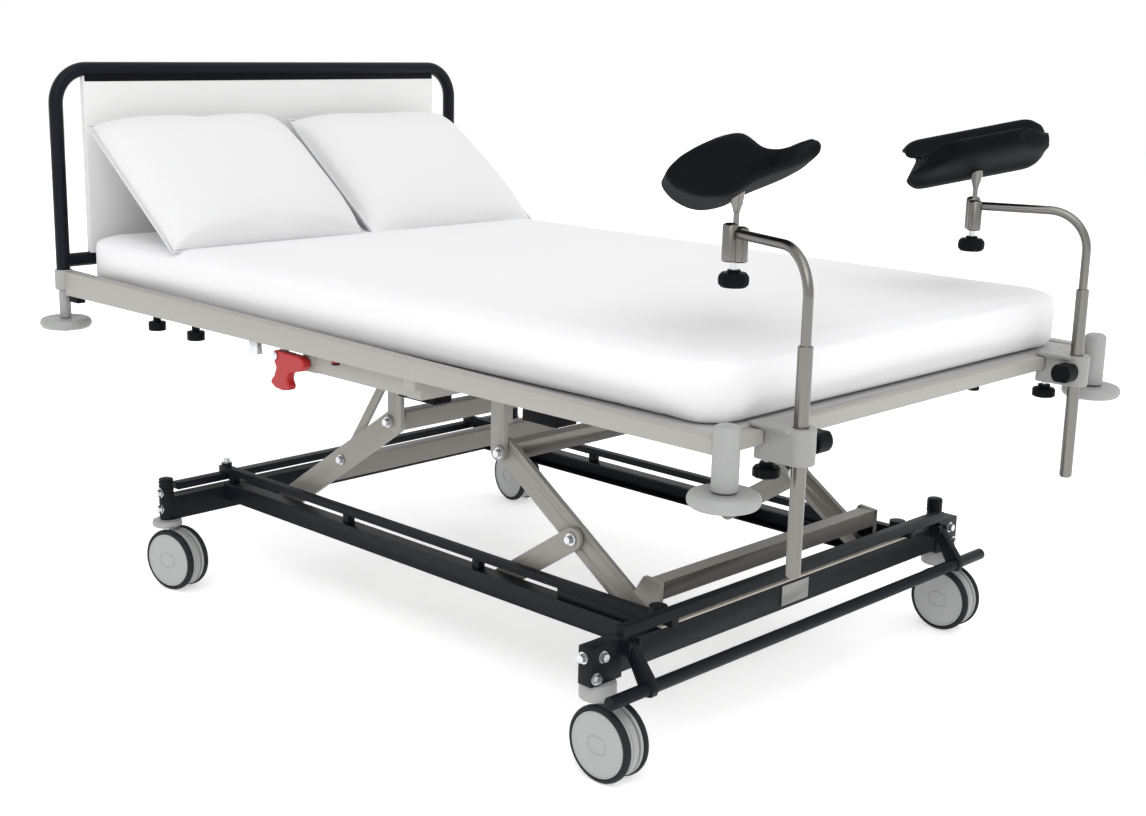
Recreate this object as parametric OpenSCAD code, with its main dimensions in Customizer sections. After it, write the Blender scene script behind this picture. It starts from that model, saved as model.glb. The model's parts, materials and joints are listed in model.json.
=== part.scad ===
// Medical exam table: wheeled base, pantograph lift, wide bed frame,
// mattress with a lifting back section, headboard, pillows, four bumper
// discs, a foot brake bail and two clamp-on leg supports.
// Millimetres, +Z up, floor at z = 0, +Y toward the headboard.
// Inside the modules Y is counted from the foot bumper axis; place() shifts
// every piece so that the outline is centred on the origin.

/* [Bed] */
// Distance between foot and head bumper axes
bed_l = 2110; // [1800:10:2300]
// Distance between left and right bumper axes
bed_w = 1280; // [900:10:1400]
// Underside of the bed rails above the floor
rail_z = 686; // [600:1:760]
// Height of the rail face at the foot
rail_h_foot = 27; // [24:1:50]
// Height of the rail face at the head
rail_h_head = 59; // [30:1:80]
// Thickness of the rails
rail_t = 30; // [20:1:40]
// Rail face beyond the bumper axis
rail_out = 9; // [0:1:20]

/* [Bumpers] */
// Diameter of the bumper discs
disc_d = 125; // [100:5:150]
// Thickness of the bumper discs
disc_t = 26; // [20:1:40]
// Middle height of the bumper discs
disc_z = 614; // [560:1:660]
// Diameter of the foot bumper posts
post_d = 46; // [36:1:60]
// Top of the foot bumper posts
post_top = 741; // [720:1:780]
// Diameter of the head sleeves
sleeve_d = 44; // [38:1:60]

/* [Soft goods] */
// Clear gap between the mattress and each side rail
mat_side = 11; // [11:1:60]
// Underside of the mattress
mat_z = 712; // [700:1:740]
// Mattress thickness
mat_t = 124; // [80:1:160]
// Plan radius of the mattress corners
mat_r = 80; // [20:5:120]
// Backrest hinge from the foot bumper axis
back_y = 1310; // [1100:5:1500]
// Half angle of the gap at the backrest fold
fold_a = 22.5; // [15:0.5:25]
// Pillow width
pil_w = 572; // [400:2:590]
// Pillow length up the slope
pil_l = 490; // [350:5:560]
// Pillow thickness
pil_t = 120; // [80:2:160]
// Slope of the pillows
pil_a = 29; // [15:1:40]

/* [Headboard] */
// Headboard tube diameter
hb_d = 34; // [28:1:40]
// Top of the headboard
hb_top = 1253; // [1100:1:1300]
// Middle height of the lower crossbar
hb_low = 769; // [760:1:820]
// Centreline bend radius of the tube
hb_r = 85; // [60:5:120]
// Panel thickness
hb_pan_t = 18; // [12:1:25]
// Gap from the posts to the panel
hb_pan_gap = 54; // [30:1:80]

/* [Base] */
// Distance between the outer faces of the base rails
base_w = 864; // [700:2:1000]
// Base rail width
br_w = 36; // [30:1:50]
// Base rail height
br_h = 44; // [40:1:60]
// Underside of the base rails
br_z = 192; // [160:1:220]
// Wall of the base rails
br_t = 3.5; // [3:0.5:6]
// Foot caster line from the foot bumper axis
cast_f = 318; // [280:1:360]
// Head caster line from the foot bumper axis
cast_h = 1763; // [1600:1:1900]
// Side distance of the caster stems from the centre
cast_x = 586; // [500:1:620]
// Depth of the foot and head beams
beam_t = 36; // [30:1:50]
// Height of the foot and head beams
beam_s = 58; // [50:1:70]

/* [Casters] */
// Wheel diameter
wheel_d = 150; // [125:25:200]
// Width over the twin wheels
wheel_w = 68; // [58:1:80]
// Width of one wheel
tyre_w = 23; // [18:1:28]
// Trail of the wheel behind the stem
trail = 31; // [20:1:45]
// Radius of the caster stem
stem_r = 11; // [8:0.5:14]
// Swivel of the left head caster at rest
swivel_hl = 12; // [-90:1:90]
// Swivel of the right head caster at rest
swivel_hr = -9; // [-90:1:90]

/* [Lift] */
// Fixed base pivot from the foot bumper axis
lift_y = 790; // [700:5:850]
// Head arm pivot in from the head caster line
head_in = 613; // [520:1:700]
// Height of the arm pivots on the bed, lowest position
lift_z = 494; // [450:1:560]
// Foot arm roller in from the foot caster line, lowest position
roll_in = 54; // [50:1:90]
// Arm width
arm_w = 56; // [40:1:70]
// Arm thickness
arm_t = 12; // [8:1:16]
// Short link thickness
link_t = 10; // [6:1:14]
// Pivot pin radius
pin_r = 10; // [8:0.5:14]
// Roller diameter
roller_d = 36; // [30:1:40]
// Size of the square cross tubes on the arms
cross_s = 36; // [28:1:44]
// Length of the control box
box_l = 121; // [100:1:140]
// Control box in from the head arm pivot
box_in = 44; // [40:1:60]

/* [Brake] */
// Brake bar diameter
bail_d = 26; // [20:1:32]
// Brake bar middle from the foot bumper axis
bail_y = 237; // [225:1:245]
// Brake bar middle height
bail_z = 179; // [174:1:190]
// Side distance of the brake bar arms
bail_x = 534; // [480:1:560]
// Brake bar beyond the caster stems
bail_over = 57; // [20:1:70]
// Brake bar pivot from the foot bumper axis
bail_py = 286; // [280:1:288]
// Brake bar pivot height
bail_pz = 248; // [240:1:250]
// Height of the brake link bars
link_h = 16; // [12:1:24]
// Width of the brake link bars
link_w = 20; // [14:1:26]

/* [Leg supports] */
// Left support in from the left bumper axis
leg_l_in = 140; // [140:5:300]
// Right support in from the right bumper axis
leg_r_in = 175; // [140:5:300]
// Support rod in front of the foot bumper axis
rod_y = 46; // [40:1:60]
// Lower tube diameter
tube_d = 26; // [22:1:32]
// Upper rod diameter
rod_d = 18; // [14:1:22]
// Lower end of the tube
tube_z0 = 462; // [420:1:520]
// Upper end of the tube
tube_z1 = 860; // [820:1:900]
// Middle height of the horizontal part of the rod
arm_z = 1018; // [980:1:1060]
// Bend radius of the rod
rod_bend = 80; // [50:5:100]
// Reach of the rod toward the head
arm_dy = 220; // [160:5:260]
// Reach of the rod toward the middle
arm_dx = 81; // [40:1:120]
// Block diameter
block_d = 48; // [40:1:56]
// Block height
block_h = 68; // [50:1:80]
// Middle height of the block
block_z = 1002; // [980:1:1030]
// Pad length
pad_l = 296; // [220:4:320]
// Pad slope along the leg
pad_a = 12; // [0:1:20]

/* [Clearances] */
// Radial running clearance of pins
run = 0.06; // [0.02:0.01:0.1]
// Clear distance between separate moving pieces
gap = 0.3; // [0.2:0.1:1]

/* [Hidden] */
$fn = 48;
front_reach = rod_y + 27;
foot_y = -(bed_l + disc_d / 2 - front_reach) / 2;
hx = bed_w / 2;
rail_x = hx + rail_out;
rail_in = rail_x - rail_t;
roll_y = cast_f + roll_in;
head_y = cast_h - head_in;
bail_l = 2 * (cast_x + bail_over);
mat_w = 2 * (rail_in - mat_side);
leg_l_x = -(hx - leg_l_in);
leg_r_x = hx - leg_r_in;
rail_f0 = 11;
rail_f1 = rail_f0 + rail_t;
rail_end = bed_l - 10;
br_x = base_w / 2;
br_in = br_x - br_w;
br_mid = br_z + br_h / 2;
beam_f0 = cast_f - beam_t / 2;
beam_f1 = cast_f + beam_t / 2;
beam_h0 = cast_h - beam_t / 2;
beam_h1 = cast_h + beam_t / 2;
beam_fz = br_z + 2;
beam_hz = br_z - 24;
arm_cos = lift_y - roll_y;
arm_sin = lift_z - br_mid;
arm_l = sqrt(arm_cos * arm_cos + arm_sin * arm_sin);
mid_y = (lift_y + roll_y) / 2;
mid_z = (lift_z + br_mid) / 2;
link_x1 = br_in - 6;
link_x0 = link_x1 - link_t;
arm_x1 = link_x0 - 4;
arm_x0 = arm_x1 - arm_t;
brk_x0 = arm_x1 + 4;
brk_x1 = brk_x0 + link_t;
cross_y1 = lift_y + 34;
cross_y0 = lift_y - 8;
sub_h = 46;
sub_z = rail_z - sub_h;
bar_z = beam_fz + beam_s + 4;
bar_x1 = br_x - 8;
bar_x0 = bar_x1 - link_w;
head_post = beam_hz + 98;
stop_h = 34;
back_l = bed_l - back_y;
mat_y0 = rail_f1 + 9;
mat_y1 = bed_l - hb_d / 2 - 16;
fold_z = mat_z;
hinge_r = 4;
lug_x0 = mat_w / 2 + 2;
lug_x1 = rail_in - 2;
spigot = 78;
mat_top = mat_z + mat_t;
sleeve_top = hb_low - hb_d / 2 - 4;
rail_mid = rail_x - rail_t / 2;
handle_y = back_y - 88;
handle_z = rail_z - 20;
handle_x0 = rail_in + 6;
handle_x1 = rail_in + 27;
block_z0 = beam_fz - 7;
block_z1 = beam_fz + beam_s + 10;
hood_f = block_z0 - gap;
hood_h = beam_hz - gap;
br_mid_x = br_x - br_w / 2;
arm_a = atan2(arm_dx, arm_dy);
pad_z = 1098;
pad_turn = 46;
pil_y = bed_l - hb_d / 2 - 1 - (pil_l * cos(pil_a) - 25 * sin(pil_a));
pil_z = mat_top + gap - 25 * cos(pil_a);
hb_z = hb_top - hb_d / 2;
post_in = hx - hb_d / 2;
pad_u = [[-133, 21], [-113, 44], [-65, 71], [-11, 88], [9, 75], [35, 54],
         [65, 60], [100, 77], [124, 85], [140, 77], [127, 60], [92, 44],
         [39, 22], [10, 10], [-11, -14], [-65, -25], [-105, -10], [-126, 10]];

// One round of corner cutting on a closed outline.
function cut_corners(p) = [for (i = [0:len(p) - 1], t = [0.25, 0.75])
    p[i] * (1 - t) + p[(i + 1) % len(p)] * t];

module place() {
    translate([0, foot_y, 0]) children();
}

module sides() {
    for (s = [-1, 1]) scale([s, 1, 1]) children();
}

module box(x0, x1, y0, y1, z0, z1) {
    translate([x0, y0, z0]) cube([x1 - x0, y1 - y0, z1 - z0]);
}

module rod_x(r, x0, x1, y, z) {
    translate([x0, y, z]) rotate([0, 90, 0]) cylinder(r = r, h = x1 - x0);
}

module rod_z(r, x, y, z0, z1) {
    translate([x, y, z0]) cylinder(r = r, h = z1 - z0);
}

module along_x(x0, x1) {
    translate([x0, 0, 0]) rotate([90, 0, 90]) linear_extrude(x1 - x0) children();
}

// ---- bed frame ----

module bed_frame() {
    color([0.74, 0.73, 0.71]) place() difference() {
        union() {
            sides() along_x(rail_in, rail_x) polygon([
                [rail_f0, rail_z], [rail_end, rail_z],
                [rail_end, rail_z + rail_h_head], [rail_f0, rail_z + rail_h_foot]]);
            box(-rail_in - 5, rail_in + 5, rail_f0, rail_f1, rail_z, rail_z + rail_h_foot - 0.5);
            box(-rail_in - 5, rail_in + 5, bed_l - 60, bed_l - 30, rail_z + 1, rail_z + 14);
            box(-rail_in + 2, rail_in - 2, cross_y0, cross_y1, sub_z, rail_z);
            box(-rail_in + 2, rail_in - 2, head_y - 34, head_y + 8, sub_z, rail_z);
            sides() box(rail_in - 14, rail_in - 1, cross_y0 + 2, head_y + 6, sub_z + 2, rail_z - 2);
            sides() box(rail_in - 14, rail_in + 12, cross_y0 + 4, cross_y1 - 4, sub_z + 20, rail_z + 3);
            sides() box(rail_in - 14, rail_in + 5, head_y - 30, head_y + 4, sub_z + 20, rail_z + 3);
            box(-rail_in - 5, rail_in + 5, back_y + 14, back_y + 40, rail_z + 1, rail_z + 14);
        }
        sides() rod_z(post_d / 2, hx, 0, rail_z - 20, rail_z + 100);
        sides() rod_z(sleeve_d / 2, hx, bed_l, rail_z - 20, rail_z + 100);
    }
}

// ---- bumper posts ----

module bumper_posts() {
    color([0.80, 0.80, 0.79]) place() sides() {
        rod_z(post_d / 2, hx, 0, disc_z + disc_t / 2 + 1, post_top - 5);
        translate([hx, 0, post_top - 5]) cylinder(r1 = post_d / 2, r2 = post_d / 2 - 5, h = 5);
        rod_z(8, hx, 0, disc_z - disc_t / 2 - 1, disc_z + disc_t / 2 + 1);
        rod_z(17, hx, 0, disc_z - disc_t / 2 - 7, disc_z - disc_t / 2 - 1);
        difference() {
            rod_z(sleeve_d / 2, hx, bed_l, rail_z + 12, sleeve_top);
            rod_z(hb_d / 2, hx, bed_l, sleeve_top - 30, sleeve_top + 1);
        }
        rod_z(14, hx, bed_l, disc_z + disc_t / 2 + 1, rail_z + 12);
        rod_z(8, hx, bed_l, disc_z - disc_t / 2 - 1, disc_z + disc_t / 2 + 1);
        rod_z(17, hx, bed_l, disc_z - disc_t / 2 - 7, disc_z - disc_t / 2 - 1);
    }
}

module bumper(x, y) {
    color([0.83, 0.83, 0.82]) place() translate([x, y, disc_z]) difference() {
        union() {
            cylinder(r = disc_d / 2 - 9, h = disc_t, center = true);
            rotate_extrude() translate([disc_d / 2 - disc_t / 2, 0])
                intersection() {
                    circle(d = disc_t);
                    translate([0, -disc_t]) square(2 * disc_t);
                }
        }
        cylinder(r = 8 + run, h = disc_t + 2, center = true);
    }
}

module bumper_fl() { bumper(-hx, 0); }

module bumper_fr() { bumper(hx, 0); }

module bumper_hl() { bumper(-hx, bed_l); }

module bumper_hr() { bumper(hx, bed_l); }

// ---- decks and mattress ----

module seat_deck() {
    color([0.62, 0.62, 0.62]) place() {
        box(-rail_in + 4, rail_in - 4, rail_f1 + 3, back_y - 16, mat_z - 8, mat_z);
        for (y = [lift_y - 590, lift_y - 270, head_y - 170, back_y - 70])
            box(-rail_in, rail_in, y, y + 40, rail_z, mat_z - 8);
        sides() box(560, rail_in, back_y - 46, back_y - 16, rail_z, mat_z - 8);
    }
}

module back_deck() {
    color([0.62, 0.62, 0.62]) place() {
        box(-rail_in + 6, rail_in - 6, back_y + 4, mat_y1 - 4, mat_z - 8, mat_z);
        for (y = [back_y + 60, (back_y + mat_y1) / 2, mat_y1 - 120])
            box(-rail_in + 20, rail_in - 20, y, y + 30, mat_z - 24, mat_z - 8);
        sides() difference() {
            union() {
                rod_x(9, lug_x0, lug_x1, back_y, mat_z);
                box(lug_x0, lug_x1, back_y, back_y + 40, mat_z - 8, mat_z + 6);
            }
            rod_x(hinge_r + run, lug_x0 - 1, lug_x1 + 1, back_y, mat_z);
        }
    }
}

module corner_block(x1, y0, y1, z0, z1, r, foot, head) {
    yf = foot ? y0 + r : y0;
    yh = head ? y1 - r : y1;
    box(-x1, x1, yf, yh, z0, z1);
    if (foot) {
        box(-x1 + r, x1 - r, y0, yf, z0, z1);
        sides() rod_z(r, x1 - r, yf, z0, z1);
    }
    if (head) {
        box(-x1 + r, x1 - r, yh, y1, z0, z1);
        sides() rod_z(r, x1 - r, yh, z0, z1);
    }
}

module mattress_seat() {
    color([0.93, 0.93, 0.94]) place() difference() {
        corner_block(mat_w / 2, mat_y0, back_y, mat_z, mat_z + mat_t, mat_r, true, false);
        along_x(-bed_w, bed_w) polygon([
            [back_y - 2, fold_z - 1], [back_y - 2, fold_z],
            [back_y - 2 - tan(fold_a) * (mat_t + 1), fold_z + mat_t + 1],
            [back_y + 50, fold_z + mat_t + 1], [back_y + 50, fold_z - 1]]);
    }
}

module mattress_back() {
    color([0.93, 0.93, 0.94]) place() difference() {
        corner_block(mat_w / 2, back_y, mat_y1, mat_z, mat_z + mat_t, mat_r, false, true);
        along_x(-bed_w, bed_w) polygon([
            [back_y + 2, fold_z - 1], [back_y + 2, fold_z],
            [back_y + 2 + tan(fold_a) * (mat_t + 1), fold_z + mat_t + 1],
            [back_y - 50, fold_z + mat_t + 1], [back_y - 50, fold_z - 1]]);
    }
}

// ---- pillows ----

module pillow(side) {
    x0 = side * 14 + (side < 0 ? -pil_w : 0);
    color([0.96, 0.96, 0.97]) place() translate([0, pil_y, pil_z])
        rotate([pil_a, 0, 0]) along_x(x0, x0 + pil_w) polygon([
            [0, 25], [40, 3], [120, 0], [pil_l - 120, 0], [pil_l - 40, 3],
            [pil_l, 25], [pil_l, 45], [pil_l - 30, pil_t - 35], [pil_l - 120, pil_t],
            [120, pil_t], [40, pil_t - 35], [0, 45]]);
}

module pillow_left() { pillow(-1); }

module pillow_right() { pillow(1); }

// ---- headboard ----

module headboard_frame() {
    color([0.08, 0.09, 0.11]) place() translate([0, bed_l, 0]) {
        sides() {
            rod_z(hb_d / 2, hx, 0, sleeve_top - 30, hb_z - hb_r);
            translate([hx - hb_r, 0, hb_z - hb_r]) rotate([90, 0, 0])
                rotate_extrude(angle = 90) translate([hb_r, 0]) circle(d = hb_d);
        }
        rod_x(hb_d / 2, -hx + hb_r, hx - hb_r, 0, hb_z);
        difference() {
            rod_x(hb_d / 2, -hx, hx, 0, hb_low);
            sides() rod_z(hb_d / 2, hx, 0, 700, 800);
        }
    }
}

module headboard_panel() {
    color([0.90, 0.90, 0.89]) place() translate([0, bed_l, 0]) difference() {
        box(-post_in + hb_pan_gap, post_in - hb_pan_gap, -hb_pan_t / 2, hb_pan_t / 2, hb_low, hb_z);
        rod_x(hb_d / 2, -hx, hx, 0, hb_low);
        rod_x(hb_d / 2, -hx, hx, 0, hb_z);
        sides() box(hx - hb_r - 1, hx, -hb_d, hb_d, hb_z - hb_d / 2 - 3, hb_top);
    }
}

// ---- lift brackets and boxes under the bed ----

module lift_bracket(y0, y1, yp) {
    difference() {
        union() {
            box(brk_x0, brk_x1, y0, y1, lift_z, rail_z - 0.5);
            rod_x((y1 - y0) / 2, brk_x0, brk_x1, (y0 + y1) / 2, lift_z);
            box(arm_x0 + 3, brk_x0, y0, y0 + 6, lift_z + 62, rail_z - 0.5);
            box(arm_x0 + 3, brk_x0, y1 - 6, y1, lift_z + 62, rail_z - 0.5);
            rod_x(pin_r, arm_x0 + 1, brk_x0, yp, lift_z);
            rod_x(pin_r + 5, brk_x1, brk_x1 + 8, yp, lift_z);
        }
        box(arm_x0 - 7, brk_x1 + 1, cross_y0, cross_y1, sub_z, rail_z + 1);
        box(arm_x0 - 7, brk_x1 + 1, head_y - 34, head_y + 8, sub_z, rail_z + 1);
    }
}

module lift_brackets() {
    color([0.70, 0.69, 0.67]) place() sides() {
        lift_bracket(cross_y0 - 2, cross_y0 + 40, lift_y);
        lift_bracket(head_y - 38, head_y + 8, head_y);
    }
}

// Actuator housing at the left, its cable duct, and a small box per side.
module control_box() {
    neck = 18;
    y1 = head_y - box_in;
    y0 = y1 - box_l;
    z0 = rail_z - 124;
    z1 = rail_z - 68;
    color([0.10, 0.11, 0.13]) place() {
        box(-brk_x1 - 14, -brk_x0 + 28, y0, y1, z0, z1);
        box(-brk_x1 - 6, -brk_x0 + 20, y0 + 39, y1 - neck, z1, mat_z - 8);
        box(-rail_in + 14, -brk_x1 - 6, y0 + 45, y0 + 75, sub_z + 6, sub_z + 26);
        sides() box(arm_x0 - 24, brk_x1 + 10, lift_y - 170, lift_y - 70, rail_z - 108, rail_z - 54);
        sides() box(arm_x0 - 14, brk_x1, lift_y - 150, lift_y - 90, rail_z - 54, mat_z - 8);
    }
}

module rail_stops() {
    color([0.12, 0.12, 0.12]) place() {
        sides() for (y = [back_y + 0.2875 * back_l, back_y + 0.4875 * back_l]) {
            rod_z(20, rail_mid, y, rail_z - stop_h, rail_z - 14);
            rod_z(9, rail_mid, y, rail_z - 14, rail_z);
        }
        sides() rod_x(hinge_r, lug_x0 - 0.5, rail_in, back_y, mat_z);
        rod_z(12, 176, rail_f0 + 13, rail_z - 9, rail_z);
        rod_z(9, -rail_mid, handle_y - 192, rail_z - 11, rail_z);
        sides() box(rail_in + 4, rail_x - 4, bed_l - 70, bed_l - 30, rail_z - 16, rail_z);
    }
}

// Moulded lever: a beam toward the foot and a flared grip below the pivot.
module release_handle() {
    color([0.72, 0.12, 0.10]) place() translate([0, handle_y, handle_z]) scale([-1, 1, 1])
        difference() {
            along_x(handle_x0, handle_x1) polygon([
                [4, 12], [-82, 10], [-96, 2], [-98, -10], [-84, -22], [-54, -28],
                [-42, -34], [-38, -46], [-46, -60], [-42, -69], [-22, -73], [3, -71],
                [20, -62], [18, -54], [8, -44], [0, -26], [7, -12], [12, -3], [11, 7]]);
            rod_x(6 + run, handle_x0 - 1, handle_x1 + 1, 0, 0);
        }
}

// Pin, hanger plate and washer of the lever, and the backrest lock beside it.
module handle_pivot() {
    color([0.75, 0.75, 0.75]) place() scale([-1, 1, 1]) {
        rod_x(6, handle_x0 - 2, handle_x1 + 1, handle_y, handle_z);
        rod_x(8.5, handle_x1 + 0.5, handle_x1 + 3, handle_y, handle_z);
        box(handle_x0 - 5, handle_x0 - 1, handle_y - 14, handle_y + 14, handle_z - 14, rail_z);
        rod_z(15, rail_mid, back_y, rail_z - 30, rail_z);
    }
}

// ---- lift ----

// Flat bar between two pins, in the plane from x0 to x1.
module bar_2(x0, x1, ya, za, yb, zb, w) {
    l = sqrt((yb - ya) * (yb - ya) + (zb - za) * (zb - za));
    translate([0, ya, za]) rotate([atan2(zb - za, yb - ya), 0, 0]) {
        box(x0, x1, 0, l, -w / 2, w / 2);
        rod_x(w / 2, x0, x1, 0, 0);
        rod_x(w / 2, x0, x1, l, 0);
    }
}

module lift_links() {
    color([0.62, 0.60, 0.57]) place() sides() difference() {
        bar_2(link_x0, link_x1, lift_y, br_mid, mid_y, mid_z, arm_w - 8);
        rod_x(pin_r + run, link_x0 - 1, link_x1 + 1, lift_y, br_mid);
        rod_x(pin_r, link_x0 - 1, link_x1 + 1, mid_y, mid_z);
    }
}

module link_pins() {
    color([0.82, 0.83, 0.85]) place() sides() {
        rod_x(pin_r, arm_x0 - 1, link_x1, mid_y, mid_z);
        rod_x(pin_r + 4, link_x1, link_x1 + 5, mid_y, mid_z);
        rod_x(pin_r + 4, arm_x0 - 7, arm_x0 - 1, mid_y, mid_z);
    }
}

module foot_arms() {
    color([0.62, 0.60, 0.57]) place() difference() {
        union() {
            sides() bar_2(arm_x0, arm_x1, lift_y, lift_z, roll_y, br_mid, arm_w);
            sides() along_x(arm_x0, arm_x1) polygon([
                [roll_y - 16, br_mid + 24], [roll_y - 18, br_mid + 100],
                [roll_y + 26, br_mid + 104], [roll_y + 60, br_mid + 50]]);
            box(-arm_x0 - 1, arm_x0 + 1, roll_y - 16, roll_y + 20, br_mid + 64, br_mid + 64 + cross_s);
            sides() rod_x(18, arm_x0 - 12, arm_x0 + 1, lift_y, lift_z);
            box(-arm_x0 + 4, arm_x0 - 4, lift_y - 18, lift_y + 18, lift_z - 18, lift_z + 18);
        }
        sides() rod_x(pin_r + run, arm_x0 - 14, arm_x1 + 1, lift_y, lift_z);
        sides() rod_x(pin_r + run, arm_x0 - 1, arm_x1 + 1, mid_y, mid_z);
        sides() rod_x(pin_r, arm_x0 - 1, arm_x1 + 1, roll_y, br_mid);
    }
}

module roller(y) {
    rod_x(pin_r, arm_x0 - 4, br_in + 26, y, br_mid);
    rod_x(pin_r + 5, arm_x1 + 0.5, br_in - 3, y, br_mid);
    difference() {
        rod_x(roller_d / 2, br_in + 6, br_in + 26, y, br_mid);
        rod_x(pin_r, br_in + 5, br_in + 27, y, br_mid);
    }
}

module foot_sliders() {
    color([0.14, 0.14, 0.15]) place() sides() roller(roll_y);
}

module head_sliders() {
    color([0.14, 0.14, 0.15]) place() sides() roller(head_y + arm_cos);
}

module head_arms() {
    t_y = head_y + 0.6 * arm_cos;
    t_z = lift_z - 0.6 * arm_sin;
    s_y = head_y + 0.46 * arm_cos;
    s_z = lift_z - 0.46 * arm_sin;
    color([0.62, 0.60, 0.57]) place() difference() {
        union() {
            sides() bar_2(arm_x0, arm_x1, head_y, lift_z, head_y + arm_cos, br_mid, arm_w);
            box(-arm_x0 - 1, arm_x0 + 1, t_y - 20, t_y + 20, t_z - 22, t_z + 22);
            sides() rod_x(20, arm_x0 - 12, arm_x0 + 1, head_y, lift_z);
            box(-arm_x0 + 4, arm_x0 - 4, head_y - 20, head_y + 20, lift_z - 20, lift_z + 20);
            sides() along_x(arm_x0 - 8, arm_x0 + 1) polygon([
                [head_y - 8, lift_z + 10], [head_y + 20, lift_z + 120], [head_y + 36, lift_z + 122],
                [s_y + 12, s_z + 4], [s_y - 6, s_z - 8], [head_y + 30, lift_z + 96], [head_y + 12, lift_z]]);
            sides() rod_x(8, arm_x1 - 1, arm_x1 + 3, s_y, s_z);
        }
        sides() rod_x(pin_r + run, arm_x0 - 14, arm_x1 + 1, head_y, lift_z);
        sides() rod_x(pin_r, arm_x0 - 9, arm_x1 + 1, head_y + arm_cos, br_mid);
    }
}

// ---- base ----

module rail_channel() {
    box(br_x - br_t, br_x, beam_f1, beam_h0, br_z, br_z + br_h);
    box(br_in, br_x - br_t, beam_f1, beam_h0, br_z, br_z + br_t);
    box(br_in, br_x - br_t, beam_f1, beam_h0, br_z + br_h - br_t, br_z + br_h);
}

module base_frame() {
    color([0.11, 0.12, 0.14]) place() difference() {
        union() {
            sides() rail_channel();
            box(-cast_x, cast_x, beam_f0, beam_f1, beam_fz, beam_fz + beam_s);
            box(-cast_x, cast_x, beam_h0, beam_h1, beam_hz, beam_hz + beam_s);
            sides() box(cast_x - 40, cast_x + 42, beam_f0 - 4, beam_f1 - 6, block_z0, block_z1);
            rod_z(17, cast_x - 26, cast_f, beam_fz + beam_s, block_z1 + 46);
            rod_z(13, cast_x - 26, cast_f, block_z1 + 46, block_z1 + 50);
            box(-br_x + 2, br_x - 2, beam_f0, beam_f0 + 12, beam_fz + beam_s, beam_fz + beam_s + 2.5);
            sides() for (x = [bail_x - 16, bail_x + 10])
                box(x, x + 6, bail_py - 12, beam_f0, bail_pz - 16, bail_pz + 12);
        }
        sides() rod_z(stem_r + run, cast_x, cast_f, 170, 240);
        sides() rod_z(18, cast_x, cast_h, 100, 300);
        sides() rod_x(5, bail_x - 20, bail_x + 20, bail_py, bail_pz);
    }
}

module caster_posts() {
    color([0.13, 0.14, 0.16]) place() sides() difference() {
        union() {
            rod_z(18, cast_x, cast_h, beam_hz, head_post);
            translate([cast_x, cast_h, head_post]) cylinder(r1 = 18, r2 = 13, h = 6);
        }
        rod_z(stem_r + run, cast_x, cast_h, 160, 232);
    }
}

module rail_guides() {
    color([0.12, 0.13, 0.15]) place() sides() {
        box(br_in, br_x - br_t, lift_y - 26, lift_y + 26, br_z + br_t, br_z + br_h - br_t);
        rod_x(pin_r, link_x0 - 2, br_in, lift_y, br_mid);
        rod_x(pin_r + 4, link_x0 - 8, link_x0 - 2, lift_y, br_mid);
        rod_x(pin_r + 6, link_x1 + 0.5, br_in, lift_y, br_mid);
        box(bar_x0, bar_x1, beam_f1 + 6, beam_f1 + 250, br_z + br_h, bar_z - 0.1);
        for (y = [lift_y + 30, head_y + 110, beam_h0 - 30])
            box(bar_x0, bar_x1, y, y + 20, br_z + br_h, bar_z - 0.1);
    }
}

// Hexagon bolt on a washer, from a flat seat or sunk to meet a round one.
module base_bolt(axis, x, y, z, sink = 0) {
    translate([x, y, z]) rotate(axis) {
        translate([0, 0, -sink]) cylinder(r = 9, h = 7 + sink, $fn = 6);
        translate([0, 0, -sink]) cylinder(r = 11, h = 1.5 + sink);
    }
}

module base_fasteners() {
    color([0.80, 0.81, 0.83]) place() sides() {
        base_bolt([0, 90, 0], cast_x + 42, cast_f, 240);
        base_bolt([90, 0, 0], cast_x + 12, beam_f0 - 4, 240);
        base_bolt([90, 0, 0], cast_x + 30, beam_f0 - 4, block_z0 + 15);
        difference() {
            for (z = [196, 236]) base_bolt([0, 90, 0], cast_x + 18, cast_h, z, 4.5);
            rod_z(18.02, cast_x, cast_h, 160, 260);
        }
    }
}

module blank_plate() {
    color([0.62, 0.62, 0.62]) place()
        box(-50, 42, beam_f0 - 2, beam_f0, beam_fz + 8, beam_fz + beam_s - 6);
}

// ---- brake ----

module brake_pedal() {
    color([0.10, 0.11, 0.13]) place() {
        rod_x(bail_d / 2, -bail_l / 2, bail_l / 2, bail_y, bail_z);
        sides() {
            along_x(bail_x - 9, bail_x + 9) polygon([
                [bail_py - 9, bail_pz + 6], [bail_py + 9, bail_pz - 6],
                [bail_y + 15, bail_z - 9], [bail_y + 4, bail_z - 17], [bail_y - 12, bail_z - 14],
                [bail_y - 17, bail_z - 2], [bail_y - 14, bail_z + 11]]);
            rod_x(11, bail_x - 9, bail_x + 9, bail_py, bail_pz);
            rod_x(5 - run, bail_x - 20, bail_x + 20, bail_py, bail_pz);
        }
    }
}

module brake_link() {
    f1 = beam_f0;
    f0 = f1 - link_w;
    top = bar_z + link_h;
    color([0.10, 0.11, 0.13]) place() {
        sides() box(bar_x0, bar_x1, f0, beam_h1 - 4, bar_z, top);
        box(-cast_x + 24, cast_x - 45, f0, f1, top - 1, top + link_w);
        sides() rod_z(18, br_mid_x, f1 + 24, top - 1, top + 16);
        box(-cast_x + 24, cast_x - 24, beam_h1 - 34, beam_h1 - 8, bar_z - 16, bar_z + 1);
        sides() rod_z(13, br_mid_x, beam_h1 - 24, top - 1, top + 10);
    }
}

module link_bolts() {
    color([0.80, 0.81, 0.83]) place() sides()
        rod_z(9, br_mid_x, beam_h1 - 24, bar_z + link_h + 10, bar_z + link_h + 17);
}

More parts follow.
